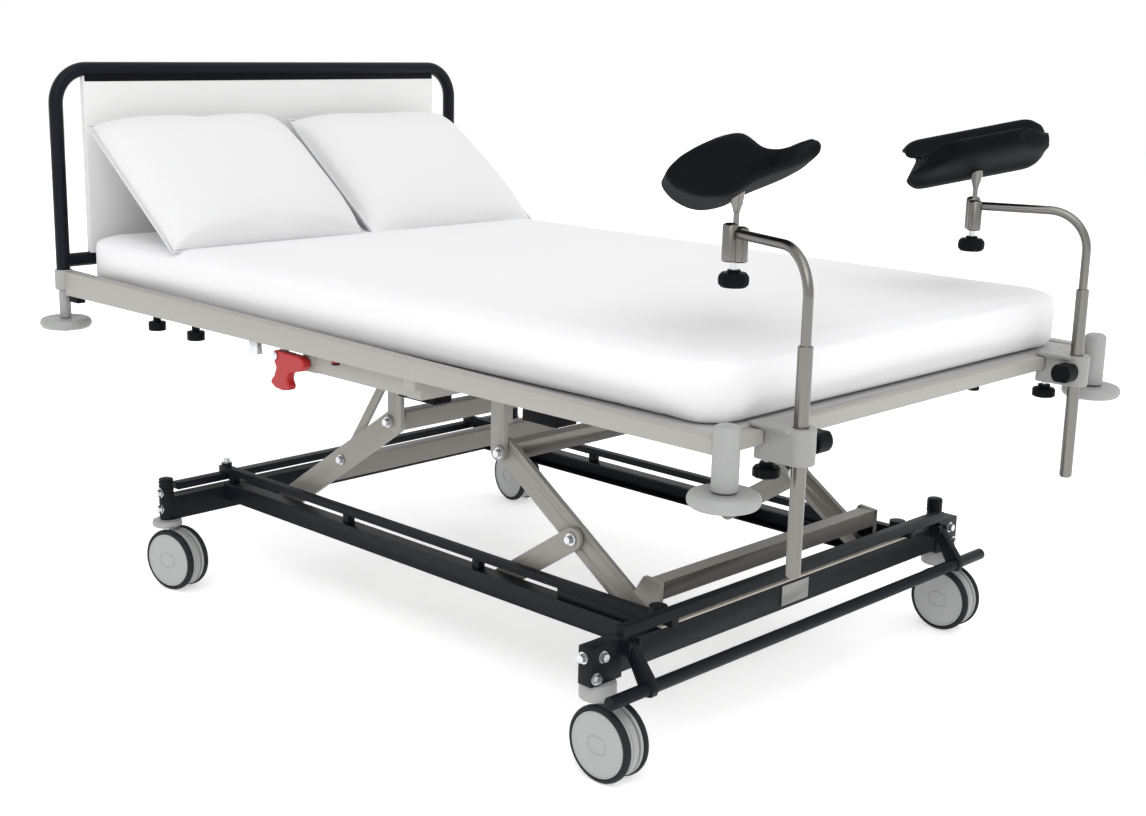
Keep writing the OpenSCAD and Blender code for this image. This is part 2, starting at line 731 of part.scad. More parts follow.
// ---- casters ----

module caster_fork(x, y, a, z_top, hood_top) {
    color([0.80, 0.80, 0.79]) place() translate([x, y, 0]) rotate([0, 0, a]) difference() {
        union() {
            rod_z(stem_r, 0, 0, 150, z_top);
            rod_z(36, 0, 0, wheel_d + 2, hood_top);
            along_x(-(wheel_w - 2 * tyre_w) / 2 + 2, (wheel_w - 2 * tyre_w) / 2 - 2) polygon([
                [22, 154], [28, 142], [20, 96], [-trail + 30, 60], [-trail, 48],
                [-trail - 30, 62], [-trail - 42, 92], [-trail - 30, 128], [-14, 154]]);
        }
        rod_x(7 + run, -wheel_w, wheel_w, -trail, wheel_d / 2);
    }
}

module caster_wheels(x, y, a) {
    h = wheel_w / 2;
    color([0.16, 0.16, 0.17]) place() translate([x, y, 0]) rotate([0, 0, a]) {
        rod_x(7, -h + tyre_w, h - tyre_w, -trail, wheel_d / 2);
        sides() {
            rod_x(wheel_d / 2 - 4, h - tyre_w, h - tyre_w + 4, -trail, wheel_d / 2);
            rod_x(wheel_d / 2, h - tyre_w + 4, h - 4, -trail, wheel_d / 2);
            rod_x(wheel_d / 2 - 5, h - 4, h - 2, -trail, wheel_d / 2);
            rod_x(wheel_d / 2 - 14, h - 2, h, -trail, wheel_d / 2);
        }
    }
}

module caster_fl_fork() { caster_fork(-cast_x, cast_f, 0, 238, hood_f); }

module caster_fl_wheels() { caster_wheels(-cast_x, cast_f, 0); }

module caster_fr_fork() { caster_fork(cast_x, cast_f, 0, 238, hood_f); }

module caster_fr_wheels() { caster_wheels(cast_x, cast_f, 0); }

module caster_hl_fork() { caster_fork(-cast_x, cast_h, swivel_hl, 230, hood_h); }

module caster_hl_wheels() { caster_wheels(-cast_x, cast_h, swivel_hl); }

module caster_hr_fork() { caster_fork(cast_x, cast_h, swivel_hr, 230, hood_h); }

module caster_hr_wheels() { caster_wheels(cast_x, cast_h, swivel_hr); }

// ---- leg supports: s = -1 left, 1 right, xs = rod position ----

module at_rod(s, xs) {
    translate([xs, -rod_y, 0]) scale([-s, 1, 1]) children();
}

module leg_clamp(s, xs) {
    color([0.82, 0.82, 0.81]) place() at_rod(s, xs) difference() {
        union() {
            rod_z(27, 0, 0, rail_z - 28, rail_z + 36);
            box(-27, 27, 0, rod_y + rail_f0 - gap, rail_z - 28, rail_z + 36);
            box(-27, 27, rod_y + rail_f0 - gap, rod_y + rail_f0 + 20, rail_z - 28, rail_z - gap);
            box(-34, 34, 4, rod_y + rail_f0 + 18, rail_z + rail_h_foot + gap, rail_z + 36);
            rod_z(22, -12, rod_y + rail_f0 + 18, rail_z + rail_h_foot + gap, rail_z + 36);
        }
        rod_z(tube_d / 2 + 0.1, 0, 0, rail_z - 30, rail_z + 40);
        box(-60, 60, rod_y + rail_f1 + 1, rod_y + rail_f1 + 60, rail_z, rail_z + 60);
        rod_z(6 + run, 0, rod_y + rail_f0 + 10, rail_z - 30, rail_z - gap + 0.01);
    }
}

module leg_clamp_knob(s, xs) {
    color([0.09, 0.09, 0.10]) place() at_rod(s, xs) translate([0, rod_y + rail_f0 + 10, 0]) {
        rod_z(6, 0, 0, rail_z - 44, rail_z - gap - 0.3);
        rod_z(14, 0, 0, rail_z - 48, rail_z - 36);
        difference() {
            rod_z(25, 0, 0, rail_z - 64, rail_z - 44);
            for (a = [0:60:300]) rotate([0, 0, a]) rod_z(7, 29, 0, rail_z - 70, rail_z - 40);
        }
    }
}

module leg_lock(s, xs) {
    color([0.09, 0.09, 0.10]) place() at_rod(s, xs) difference() {
        rod_x(22, 27.3, 66, 0, rail_z + 4);
        box(26, 70, -30, 30, rail_z + 22, rail_z + 40);
        box(26, 70, -30, 30, rail_z - 20, rail_z - 14);
    }
}

module leg_tube(s, xs) {
    color([0.78, 0.78, 0.77]) place() at_rod(s, xs) difference() {
        union() {
            rod_z(tube_d / 2, 0, 0, tube_z0, tube_z1);
            rod_z(tube_d / 2 - 1.5, 0, 0, tube_z0 - 3, tube_z0);
        }
        rod_z(rod_d / 2 + run, 0, 0, tube_z1 - spigot - 4, tube_z1 + 1);
    }
}

module leg_arm(s, xs) {
    l = sqrt(arm_dx * arm_dx + arm_dy * arm_dy);
    color([0.78, 0.78, 0.77]) place() at_rod(s, xs) {
        rod_z(rod_d / 2, 0, 0, tube_z1 - spigot, arm_z - rod_bend);
        rotate([0, 0, -arm_a]) {
            translate([0, rod_bend, arm_z - rod_bend]) rotate([90, 0, -90])
                rotate_extrude(angle = 90) translate([rod_bend, 0]) circle(d = rod_d);
            difference() {
                union() {
                    translate([0, rod_bend, arm_z]) rotate([-90, 0, 0])
                        cylinder(d = rod_d, h = l - rod_bend - 14);
                    rod_z(block_d / 2, 0, l, block_z - block_h / 2, block_z + block_h / 2);
                }
                rod_z(7 + run, 0, l, block_z - block_h, block_z + block_h);
            }
        }
    }
}

module leg_pad(s, xs) {
    color([0.07, 0.07, 0.08]) place() at_rod(s, xs) translate([arm_dx, arm_dy, 0]) {
        rod_z(7, 0, 0, block_z - 8, pad_z + 16);
        rod_z(11, 0, 0, block_z + block_h / 2 + 22, pad_z + 6);
        intersection() {
            translate([0, 0, pad_z]) rotate([0, 0, -pad_turn]) rotate([-pad_a, 0, 0])
                translate([0, pad_l / 2, 0]) rotate([90, 0, 0])
                    linear_extrude(pad_l) polygon(cut_corners(pad_u));
            rod_z(pad_l / 2 + 28, 0, 0, pad_z - 120, pad_z + 200);
        }
    }
}

module leg_pad_knob(s, xs) {
    z1 = block_z - block_h / 2 - 19;
    color([0.09, 0.09, 0.10]) place() at_rod(s, xs) translate([arm_dx, arm_dy, 0]) {
        rod_z(28, 0, 0, z1 - 26, z1);
        rod_z(7, 0, 0, z1, block_z - 9);
        rod_z(12, 0, 0, z1, z1 + 5);
    }
}

module leg_l_clamp() { leg_clamp(-1, leg_l_x); }

module leg_l_clamp_knob() { leg_clamp_knob(-1, leg_l_x); }

module leg_l_lock() { leg_lock(-1, leg_l_x); }

module leg_l_tube() { leg_tube(-1, leg_l_x); }

module leg_l_arm() { leg_arm(-1, leg_l_x); }

module leg_l_pad() { leg_pad(-1, leg_l_x); }

module leg_l_pad_knob() { leg_pad_knob(-1, leg_l_x); }

module leg_r_clamp() { leg_clamp(1, leg_r_x); }

module leg_r_clamp_knob() { leg_clamp_knob(1, leg_r_x); }

module leg_r_lock() { leg_lock(1, leg_r_x); }

module leg_r_tube() { leg_tube(1, leg_r_x); }

module leg_r_arm() { leg_arm(1, leg_r_x); }

module leg_r_pad() { leg_pad(1, leg_r_x); }

module leg_r_pad_knob() { leg_pad_knob(1, leg_r_x); }

base_frame();
caster_posts();
rail_guides();
base_fasteners();
blank_plate();
brake_pedal();
brake_link();
link_bolts();
caster_fl_fork();
caster_fl_wheels();
caster_fr_fork();
caster_fr_wheels();
caster_hl_fork();
caster_hl_wheels();
caster_hr_fork();
caster_hr_wheels();
lift_links();
link_pins();
foot_arms();
foot_sliders();
head_arms();
head_sliders();
bed_frame();
lift_brackets();
control_box();
bumper_posts();
bumper_fl();
bumper_fr();
bumper_hl();
bumper_hr();
seat_deck();
mattress_seat();
rail_stops();
headboard_frame();
headboard_panel();
back_deck();
mattress_back();
pillow_left();
pillow_right();
handle_pivot();
release_handle();
leg_l_clamp();
leg_l_clamp_knob();
leg_l_lock();
leg_l_tube();
leg_l_arm();
leg_l_pad();
leg_l_pad_knob();
leg_r_clamp();
leg_r_clamp_knob();
leg_r_lock();
leg_r_tube();
leg_r_arm();
leg_r_pad();
leg_r_pad_knob();
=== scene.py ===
"""Medical exam table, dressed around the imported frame.

Every measure is in metres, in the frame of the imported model. Each
sub-assembly is a class with its sizes as fields; each finish is a frozen
dataclass that builds its own material.
"""
from __future__ import annotations

import json
import logging
import math
from dataclasses import dataclass
from enum import Enum
from typing import Callable, Sequence

import bmesh
import bpy
from mathutils import Matrix, Vector, noise


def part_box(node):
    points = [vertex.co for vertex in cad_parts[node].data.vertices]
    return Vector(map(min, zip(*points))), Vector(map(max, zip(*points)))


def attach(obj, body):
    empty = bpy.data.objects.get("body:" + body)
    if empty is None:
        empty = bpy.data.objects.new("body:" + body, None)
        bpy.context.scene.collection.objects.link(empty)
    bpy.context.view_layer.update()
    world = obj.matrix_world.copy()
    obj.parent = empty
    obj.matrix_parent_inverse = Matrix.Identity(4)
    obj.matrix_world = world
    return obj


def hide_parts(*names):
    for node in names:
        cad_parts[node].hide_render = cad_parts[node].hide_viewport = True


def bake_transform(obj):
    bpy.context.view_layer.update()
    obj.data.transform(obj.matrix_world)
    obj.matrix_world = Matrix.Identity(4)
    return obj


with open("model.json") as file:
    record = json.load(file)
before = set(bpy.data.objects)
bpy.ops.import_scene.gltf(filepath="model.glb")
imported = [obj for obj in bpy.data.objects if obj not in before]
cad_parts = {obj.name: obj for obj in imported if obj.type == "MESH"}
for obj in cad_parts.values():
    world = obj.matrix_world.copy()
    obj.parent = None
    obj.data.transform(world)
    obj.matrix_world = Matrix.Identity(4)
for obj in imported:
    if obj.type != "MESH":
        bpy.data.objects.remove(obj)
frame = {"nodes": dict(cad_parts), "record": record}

log = logging.getLogger("exam_table")
CORNERS = ("fl", "fr", "hl", "hr")
Point = tuple[float, float, float]
Outline = Sequence[tuple[float, float]]
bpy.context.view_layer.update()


# ---------------------------------------------------------------- shading


class Shade:
    """A shader socket that can be used in Python arithmetic."""

    def __init__(self, graph: "Graph", socket: bpy.types.NodeSocket) -> None:
        """Keeps the graph and the output socket."""
        self.graph = graph
        self.socket = socket

    def _math(self, operation: str, *values: "Shade | float") -> "Shade":
        """Adds one Math node.

        Args:
            operation: the Math node's operation.
            values: its inputs, in order.

        Returns:
            The node's result.
        """
        inputs = dict(enumerate(values))
        return self.graph.node("ShaderNodeMath", {"operation": operation}, inputs)

    def __add__(self, other: "Shade | float") -> "Shade":
        """Sum."""
        return self._math("ADD", self, other)

    def __radd__(self, other: float) -> "Shade":
        """Reflected sum."""
        return self._math("ADD", other, self)

    def __sub__(self, other: "Shade | float") -> "Shade":
        """Difference."""
        return self._math("SUBTRACT", self, other)

    def __rsub__(self, other: float) -> "Shade":
        """Reflected difference."""
        return self._math("SUBTRACT", other, self)

    def __mul__(self, other: "Shade | float") -> "Shade":
        """Product."""
        return self._math("MULTIPLY", self, other)

    def __rmul__(self, other: float) -> "Shade":
        """Reflected product."""
        return self._math("MULTIPLY", other, self)

    def sin(self) -> "Shade":
        """Sine."""
        return self._math("SINE", self)

    def clamp(self) -> "Shade":
        """Value held between 0 and 1."""
        return self.graph.node("ShaderNodeClamp", {}, {0: self})


class Graph:
    """Builds one material's node tree."""

    def __init__(self, name: str) -> None:
        """Makes the material with its Principled shader.

        Args:
            name: the material's name.
        """
        self.material = bpy.data.materials.new(name)
        self.material.use_nodes = True
        self.tree = self.material.node_tree
        self.shader = self.tree.nodes["Principled BSDF"]

    def node(self, kind: str, settings: dict, inputs: dict, output: int | str = 0) -> Shade:
        """Makes any node.

        Args:
            kind: the node's type name.
            settings: attributes, set before the inputs; "stops" fills a ramp.
            inputs: values or links, by socket index or name.
            output: which output to return.

        Returns:
            The chosen output.
        """
        made = self.tree.nodes.new(kind)
        for key, value in settings.items():
            if key == "stops":
                ramp = made.color_ramp
                while len(ramp.elements) < len(value):
                    ramp.elements.new(0.5)
                for element, (place, tint) in zip(ramp.elements, value):
                    element.position = place
                    element.color = (*tint, 1.0) if len(tint) == 3 else tint
            else:
                setattr(made, key, value)
        for key, value in inputs.items():
            if isinstance(value, Shade):
                self.tree.links.new(value.socket, made.inputs[key])
            else:
                made.inputs[key].default_value = value
        return Shade(self, made.outputs[output])

    def set(self, **values: float | tuple) -> None:
        """Sets constants on the shader's own sockets, by name with _ for spaces."""
        for key, value in values.items():
            self.shader.inputs[key.replace("_", " ")].default_value = value

    def feed(self, socket: str, value: Shade) -> None:
        """Links a value into one of the shader's sockets."""
        self.tree.links.new(value.socket, self.shader.inputs[socket])

    def place(self, scale: Point = (1, 1, 1), turn: Point = (0, 0, 0)) -> Shade:
        """Object coordinates, scaled and turned."""
        coords = self.node("ShaderNodeTexCoord", {}, {}, "Object")
        return self.node("ShaderNodeMapping", {}, {"Vector": coords, "Scale": scale, "Rotation": turn})

    def noise(self, where: Shade, scale: float, detail: float = 2.0, rough: float = 0.5) -> Shade:
        """Noise texture value."""
        return self.node("ShaderNodeTexNoise", {}, {"Vector": where, "Scale": scale,
                                                    "Detail": detail, "Roughness": rough})

    def tint(self, factor: Shade, low: tuple, high: tuple) -> Shade:
        """Colour that goes from low to high with the factor."""
        stops = [(0.0, low), (1.0, high)]
        return self.node("ShaderNodeValToRGB", {"stops": stops}, {0: factor})

    def bump(self, height: Shade, strength: float, distance: float) -> None:
        """Feeds a height into the normal.

        Args:
            height: the height.
            strength: how much of it shows.
            distance: its full depth in metres.
        """
        out = self.node("ShaderNodeBump", {}, {"Height": height, "Strength": strength,
                                               "Distance": distance})
        self.feed("Normal", out)


def shift(tint: Point, by: float) -> Point:
    """A colour made lighter or darker by a factor."""
    return tuple(min(1.0, max(0.0, c * by)) for c in tint)


@dataclass(frozen=True)
class PowderCoat:
    """Baked powder paint: fine orange peel, a dusty drift and uneven gloss."""

    name: str
    tint: Point
    rough: float = 0.42
    peel: float = 900.0
    dust: float = 0.06
    shine: float = 0.4

    def material(self) -> bpy.types.Material:
        """Builds the finish.

        Returns:
            The material.
        """
        g = Graph(self.name)
        where = g.place()
        broad = g.noise(where, 3.1, 4.0, 0.6)
        fine = g.noise(where, self.peel, 2.0)
        blotch = (broad * 0.7 + g.noise(where, 23.0, 3.0) * 0.3).clamp()
        low, high = shift(self.tint, 1.0 - self.dust), shift(self.tint, 1.0 + self.dust)
        g.feed("Base Color", g.tint(blotch, low, high))
        g.feed("Roughness", (broad * 0.16 + (self.rough - 0.08)).clamp())
        g.bump(fine, 0.12, 0.0004)
        g.set(Specular_IOR_Level=self.shine)
        return g.material


@dataclass(frozen=True)
class BrushedSteel:
    """Bare or plated steel: streaks drawn out along the axes where lines is low."""

    name: str
    tint: Point
    rough: float = 0.3
    lines: Point = (1400.0, 1400.0, 18.0)
    metallic: float = 1.0

    def material(self) -> bpy.types.Material:
        """Builds the finish.

        Returns:
            The material.
        """
        g = Graph(self.name)
        streak = g.noise(g.place(self.lines), 1.0, 2.0, 0.6)
        cloud = g.noise(g.place(), 9.0, 3.0)
        g.feed("Base Color", g.tint(streak, shift(self.tint, 0.93), shift(self.tint, 1.05)))
        g.feed("Roughness", (streak * 0.08 + cloud * 0.08 + (self.rough - 0.08)).clamp())
        g.bump(streak, 0.04, 0.00015)
        g.set(Metallic=self.metallic)
        return g.material


@dataclass(frozen=True)
class Moulding:
    """Moulded plastic or foam skin with a fine spark grain."""

    name: str
    tint: Point
    rough: float = 0.45
    grain: float = 1500.0
    depth: float = 0.15
    shine: float = 0.4

    def material(self) -> bpy.types.Material:
        """Builds the finish.

        Returns:
            The material.
        """
        g = Graph(self.name)
        where = g.place()
        broad = g.noise(where, 7.0, 3.0)
        grain = g.noise(where, self.grain, 2.0)
        g.feed("Base Color", g.tint(broad, shift(self.tint, 0.93), shift(self.tint, 1.07)))
        g.feed("Roughness", (broad * 0.12 + (self.rough - 0.06)).clamp())
        g.bump(grain, self.depth, 0.0003)
        g.set(Specular_IOR_Level=self.shine)
        return g.material


@dataclass(frozen=True)
class Tyre:
    """Solid tyre: matt black with dust in patches."""

    name: str = "tyre_black"
    tint: Point = (0.007, 0.0075, 0.009)

    def material(self) -> bpy.types.Material:
        """Builds the finish.

        Returns:
            The material.
        """
        g = Graph(self.name)
        where = g.place()
        dust = g.noise(where, 60.0, 4.0, 0.7)
        g.feed("Base Color", g.tint(dust, self.tint, shift(self.tint, 2.2)))
        g.feed("Roughness", (dust * 0.25 + 0.5).clamp())
        g.bump(g.noise(where, 700.0, 3.0), 0.2, 0.0005)
        g.set(Specular_IOR_Level=0.2)
        return g.material


@dataclass(frozen=True)
class Cloth:
    """Woven cover: plain weave threads with soft colour drift."""

    name: str
    tint: Point
    pitch: float = 0.0011
    depth: float = 0.25
    sheen: float = 0.25
    rough: float = 0.85

    def material(self) -> bpy.types.Material:
        """Builds the finish.

        Returns:
            The material.
        """
        g = Graph(self.name)
        where = g.place()
        axes = g.node("ShaderNodeSeparateXYZ", {}, {0: where})
        tree_node = axes.socket.node
        x, y, z = (Shade(g, tree_node.outputs[i]) for i in range(3))
        step = math.tau / self.pitch
        warp = ((x + z * 0.6) * step).sin()
        weft = ((y + z * 0.8) * step).sin()
        threads = warp * weft * 0.5 + 0.5
        slub = g.noise(where, 420.0, 3.0, 0.6)
        drift = g.noise(where, 2.3, 4.0, 0.6)
        mixed = (drift * 0.75 + slub * 0.25).clamp()
        g.feed("Base Color", g.tint(mixed, shift(self.tint, 0.955), shift(self.tint, 1.03)))
        g.feed("Roughness", (drift * 0.08 + (self.rough - 0.04)).clamp())
        g.bump(threads * 0.6 + slub * 0.5, self.depth, 0.0005)
        g.set(Sheen_Weight=self.sheen, Sheen_Roughness=0.5, Specular_IOR_Level=0.25)
        return g.material


@dataclass(frozen=True)
class Laminate:
    """Headboard sheet: satin, faint vertical flow marks."""

    name: str = "panel_off_white"
    tint: Point = (0.74, 0.74, 0.735)

    def material(self) -> bpy.types.Material:
        """Builds the finish.

        Returns:
            The material.
        """
        g = Graph(self.name)
        flow = g.noise(g.place((3.0, 3.0, 0.8)), 1.6, 3.0)
        g.feed("Base Color", g.tint(flow, shift(self.tint, 0.97), shift(self.tint, 1.03)))
        g.feed("Roughness", (flow * 0.1 + 0.42).clamp())
        g.bump(g.noise(g.place(), 1100.0, 2.0), 0.08, 0.0003)
        return g.material


class Finish(Enum):
    """The finishes of this table."""

    FRAME = PowderCoat("frame_warm_grey", (0.335, 0.325, 0.30), 0.40)
    # Bracket: the frame's warm grey made darker, painted shade for the brackets under the bed.
    BRACKET = PowderCoat("bracket_warm_grey", (0.30, 0.29, 0.27), 0.42)
    # Arms: the frame's warm grey made darker, painted shade for the arms under the bed.
    ARM = PowderCoat("arm_warm_grey", (0.285, 0.27, 0.245), 0.42)
    BASE = PowderCoat("base_powder_black", (0.0060, 0.0080, 0.0108), 0.44, dust=0.25, shine=0.11)
    STRIP = PowderCoat("beam_top_beige", (0.50, 0.45, 0.38), 0.5)
    TUBE = PowderCoat("headboard_black", (0.0052, 0.0076, 0.011), 0.36, dust=0.2, shine=0.12)
    DECK = PowderCoat("deck_powder_grey", (0.35, 0.35, 0.35), 0.5)
    PLATE = BrushedSteel("bare_plate", (0.30, 0.30, 0.29), 0.45, (300.0, 6.0, 6.0), 0.6)
    STEEL = BrushedSteel("brushed_steel", (0.205, 0.198, 0.184), 0.26)
    ZINC = BrushedSteel("zinc_plate", (0.62, 0.63, 0.65), 0.28, (60.0, 60.0, 60.0))
    PALE = Moulding("pale_grey_moulding", (0.31, 0.315, 0.31), 0.42)
    CLAMP = PowderCoat("clamp_pale_grey", (0.27, 0.27, 0.265), 0.36)
    CAP = Moulding("hub_cap_grey", (0.348, 0.355, 0.351), 0.38)
    BLACK = Moulding("black_moulding", (0.0045, 0.005, 0.006), 0.46, shine=0.06)
    PAD = Moulding("pad_black_skin", (0.0035, 0.0047, 0.0062), 0.64, 900.0, 0.05, shine=0.05)
    RED = Moulding("red_moulding", (0.36, 0.012, 0.014), 0.35)
    TYRE = Tyre()
    COVER = Cloth("mattress_cover", (0.76, 0.76, 0.77))
    LINEN = Cloth("pillow_cover", (0.70, 0.70, 0.705), 0.0009, 0.2)
    PIPING = Cloth("pillow_piping", (0.60, 0.60, 0.61), 0.0009, 0.2)
    PANEL = Laminate()

    def get(self) -> bpy.types.Material:
        """The material, made once."""
        found = bpy.data.materials.get(self.value.name)
        return found or self.value.material()


# ---------------------------------------------------------------- meshes


def link(name: str, mesh: bpy.types.Mesh) -> bpy.types.Object:
    """Puts a mesh in the scene as an object at the origin.

    Args:
        name: the object's name.
        mesh: its mesh.

    Returns:
        The object.
    """
    made = bpy.data.objects.new(name, mesh)
    bpy.context.scene.collection.objects.link(made)
    return made


def dress(piece: bpy.types.Object, finish: Finish, body: str, slot: str,
          *nodes: str) -> bpy.types.Object:
    """Gives a piece its finish, body and the nodes it stands for.

    Args:
        piece: the object.
        finish: its finish.
        body: the body that it rides on.
        slot: the record's material slot; not used.
        nodes: the CAD nodes that it replaces.

    Returns:
        The piece.
    """
    piece.data.materials.clear()
    piece.data.materials.append(finish.get())
    if body:
        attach(piece, body)
    if nodes:
        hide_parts(*nodes)
    log.info("%s: %d faces on %s", piece.name, len(piece.data.polygons), body)
    return piece


def smooth(mesh: bpy.types.Mesh, limit: float = 32.0) -> None:
    """Shades a mesh smooth, sharp above an angle in degrees."""
    mesh.polygons.foreach_set("use_smooth", [True] * len(mesh.polygons))
    mesh.set_sharp_from_angle(angle=math.radians(limit))


def bake(piece: bpy.types.Object) -> bpy.types.Object:
    """Applies every modifier, so that the piece is a plain mesh.

    Args:
        piece: the object.

    Returns:
        The piece.
    """
    graph = bpy.context.evaluated_depsgraph_get()
    graph.update()
    mesh = bpy.data.meshes.new_from_object(piece.evaluated_get(graph))
    piece.modifiers.clear()
    old, piece.data = piece.data, mesh
    if hasattr(old, "polygons"):
        bpy.data.meshes.remove(old)
    return piece


def bevel(piece: bpy.types.Object, width: float, segments: int = 2,
          angle: float = 35.0) -> bpy.types.Object:
    """Rounds a piece's edges and applies it.

    Args:
        piece: the object.
        width: the rounding's width.
        segments: steps across it.
        angle: edges sharper than this are rounded, in degrees.

    Returns:
        The piece, shaded smooth.
    """
    tool = piece.modifiers.new("round", "BEVEL")
    tool.width = width
    tool.segments = segments
    tool.limit_method = "ANGLE"
    tool.angle_limit = math.radians(angle)
    tool.use_clamp_overlap = True
    tool.harden_normals = False
    bake(piece)
    smooth(piece.data, 50.0)
    return piece


def carried(node: str, name: str, width: float, segments: int = 2) -> bpy.types.Object:
    """A copy of a CAD node with its flat faces joined and its edges rounded.

    Args:
        node: the CAD node.
        name: the new piece's name.
        width: the rounding's width.
        segments: steps across it.

    Returns:
        The new piece.
    """
    mesh = frame["nodes"][node].data.copy()
    form = bmesh.new()
    form.from_mesh(mesh)
    bmesh.ops.remove_doubles(form, verts=form.verts, dist=1e-5)
    bmesh.ops.dissolve_limit(form, angle_limit=math.radians(0.6), verts=form.verts,
                             edges=form.edges, delimit={"NORMAL"})
    form.to_mesh(mesh)
    form.free()
    mesh.name = name
    return bevel(link(name, mesh), width, segments)


class Form:
    """Collects closed shapes in one mesh."""

    def __init__(self) -> None:
        """Starts empty."""
        self.bm = bmesh.new()

    def rings(self, rings: Sequence[Sequence[Vector]], closed: bool = True,
              caps: bool = True) -> "Form":
        """Skins a row of rings with the same number of points.

        Args:
            rings: the rings, in order.
            closed: whether each ring is a loop.
            caps: whether the two ends are filled.

        Returns:
            The form.
        """
        rows = [[self.bm.verts.new(p) for p in ring] for ring in rings]
        count = len(rows[0])
        last = count if closed else count - 1
        for low, high in zip(rows, rows[1:]):
            for i in range(last):
                j = (i + 1) % count
                self.bm.faces.new((low[i], low[j], high[j], high[i]))
        if caps and closed:
            self.bm.faces.new(list(reversed(rows[0])))
            self.bm.faces.new(rows[-1])
        return self

    def lathe(self, profile: Outline, centre: Point, axis: str = "z", steps: int = 48,
              waver: Callable[[float], float] | None = None) -> "Form":
        """Turns a profile of (radius, height) round an axis.

        Args:
            profile: radius and height pairs; its ends are capped.
            centre: a point on the axis.
            axis: "x", "y" or "z".
            steps: points round.
            waver: factor on the radius at an angle, for flutes.

        Returns:
            The form.
        """
        rings = []
        for radius, height in profile:
            ring = []
            for i in range(steps):
                a = math.tau * i / steps
                r = max(radius, 1e-5) * (waver(a) if waver else 1.0)
                u, v = r * math.cos(a), r * math.sin(a)
                spot = {"z": (u, v, height), "x": (height, u, v), "y": (v, height, u)}[axis]
                ring.append(Vector(centre) + Vector(spot))
            rings.append(ring)
        return self.rings(rings)

    def slab(self, low: Point, high: Point) -> "Form":
        """A box.

        Args:
            low: its lowest corner.
            high: its highest corner.

        Returns:
            The form.
        """
        (x0, y0, z0), (x1, y1, z1) = low, high
        ring = [(x0, y0), (x1, y0), (x1, y1), (x0, y1)]
        return self.rings([[Vector((x, y, z)) for x, y in ring] for z in (z0, z1)])

    def sweep(self, path: Sequence[Vector], radius: float, steps: int = 20) -> "Form":
        """A round bar along a path of points.

        Args:
            path: points along the middle.
            radius: the bar's radius.
            steps: points round.

        Returns:
            The form.
        """
        rings = []
        side = None
        for i, spot in enumerate(path):
            ahead = (path[min(i + 1, len(path) - 1)] - path[max(i - 1, 0)]).normalized()
            if side is None:
                side = ahead.orthogonal().normalized()
            side = (side - ahead * side.dot(ahead)).normalized()
            up = ahead.cross(side)
            rings.append([spot + radius * (side * math.cos(a) + up * math.sin(a))
                          for a in (math.tau * k / steps for k in range(steps))])
        return self.rings(rings)

    def outline(self, shape: Sequence[Vector], along: Vector) -> "Form":
        """A flat outline pushed along a vector."""
        return self.rings([list(shape), [p + along for p in shape]])

    def done(self, name: str, angle: float = 32.0) -> bpy.types.Object:
        """Closes the form, turns its faces outwards and makes the object.

        Args:
            name: the object's name.
            angle: edges sharper than this stay sharp, in degrees.

        Returns:
            The object.
        """
        bmesh.ops.remove_doubles(self.bm, verts=self.bm.verts, dist=2e-6)
        bmesh.ops.recalc_face_normals(self.bm, faces=self.bm.faces)
        mesh = bpy.data.meshes.new(name)
        self.bm.to_mesh(mesh)
        self.bm.free()
        smooth(mesh, angle)
        return link(name, mesh)


def arc(centre: Vector, start: Vector, end: Vector, steps: int) -> list[Vector]:
    """Quarter bend about a centre, from centre + start to centre + end."""
    turns = (math.pi / 2 * i / steps for i in range(steps + 1))
    return [centre + start * math.cos(a) + end * math.sin(a) for a in turns]


# ---------------------------------------------------------------- geometry nodes


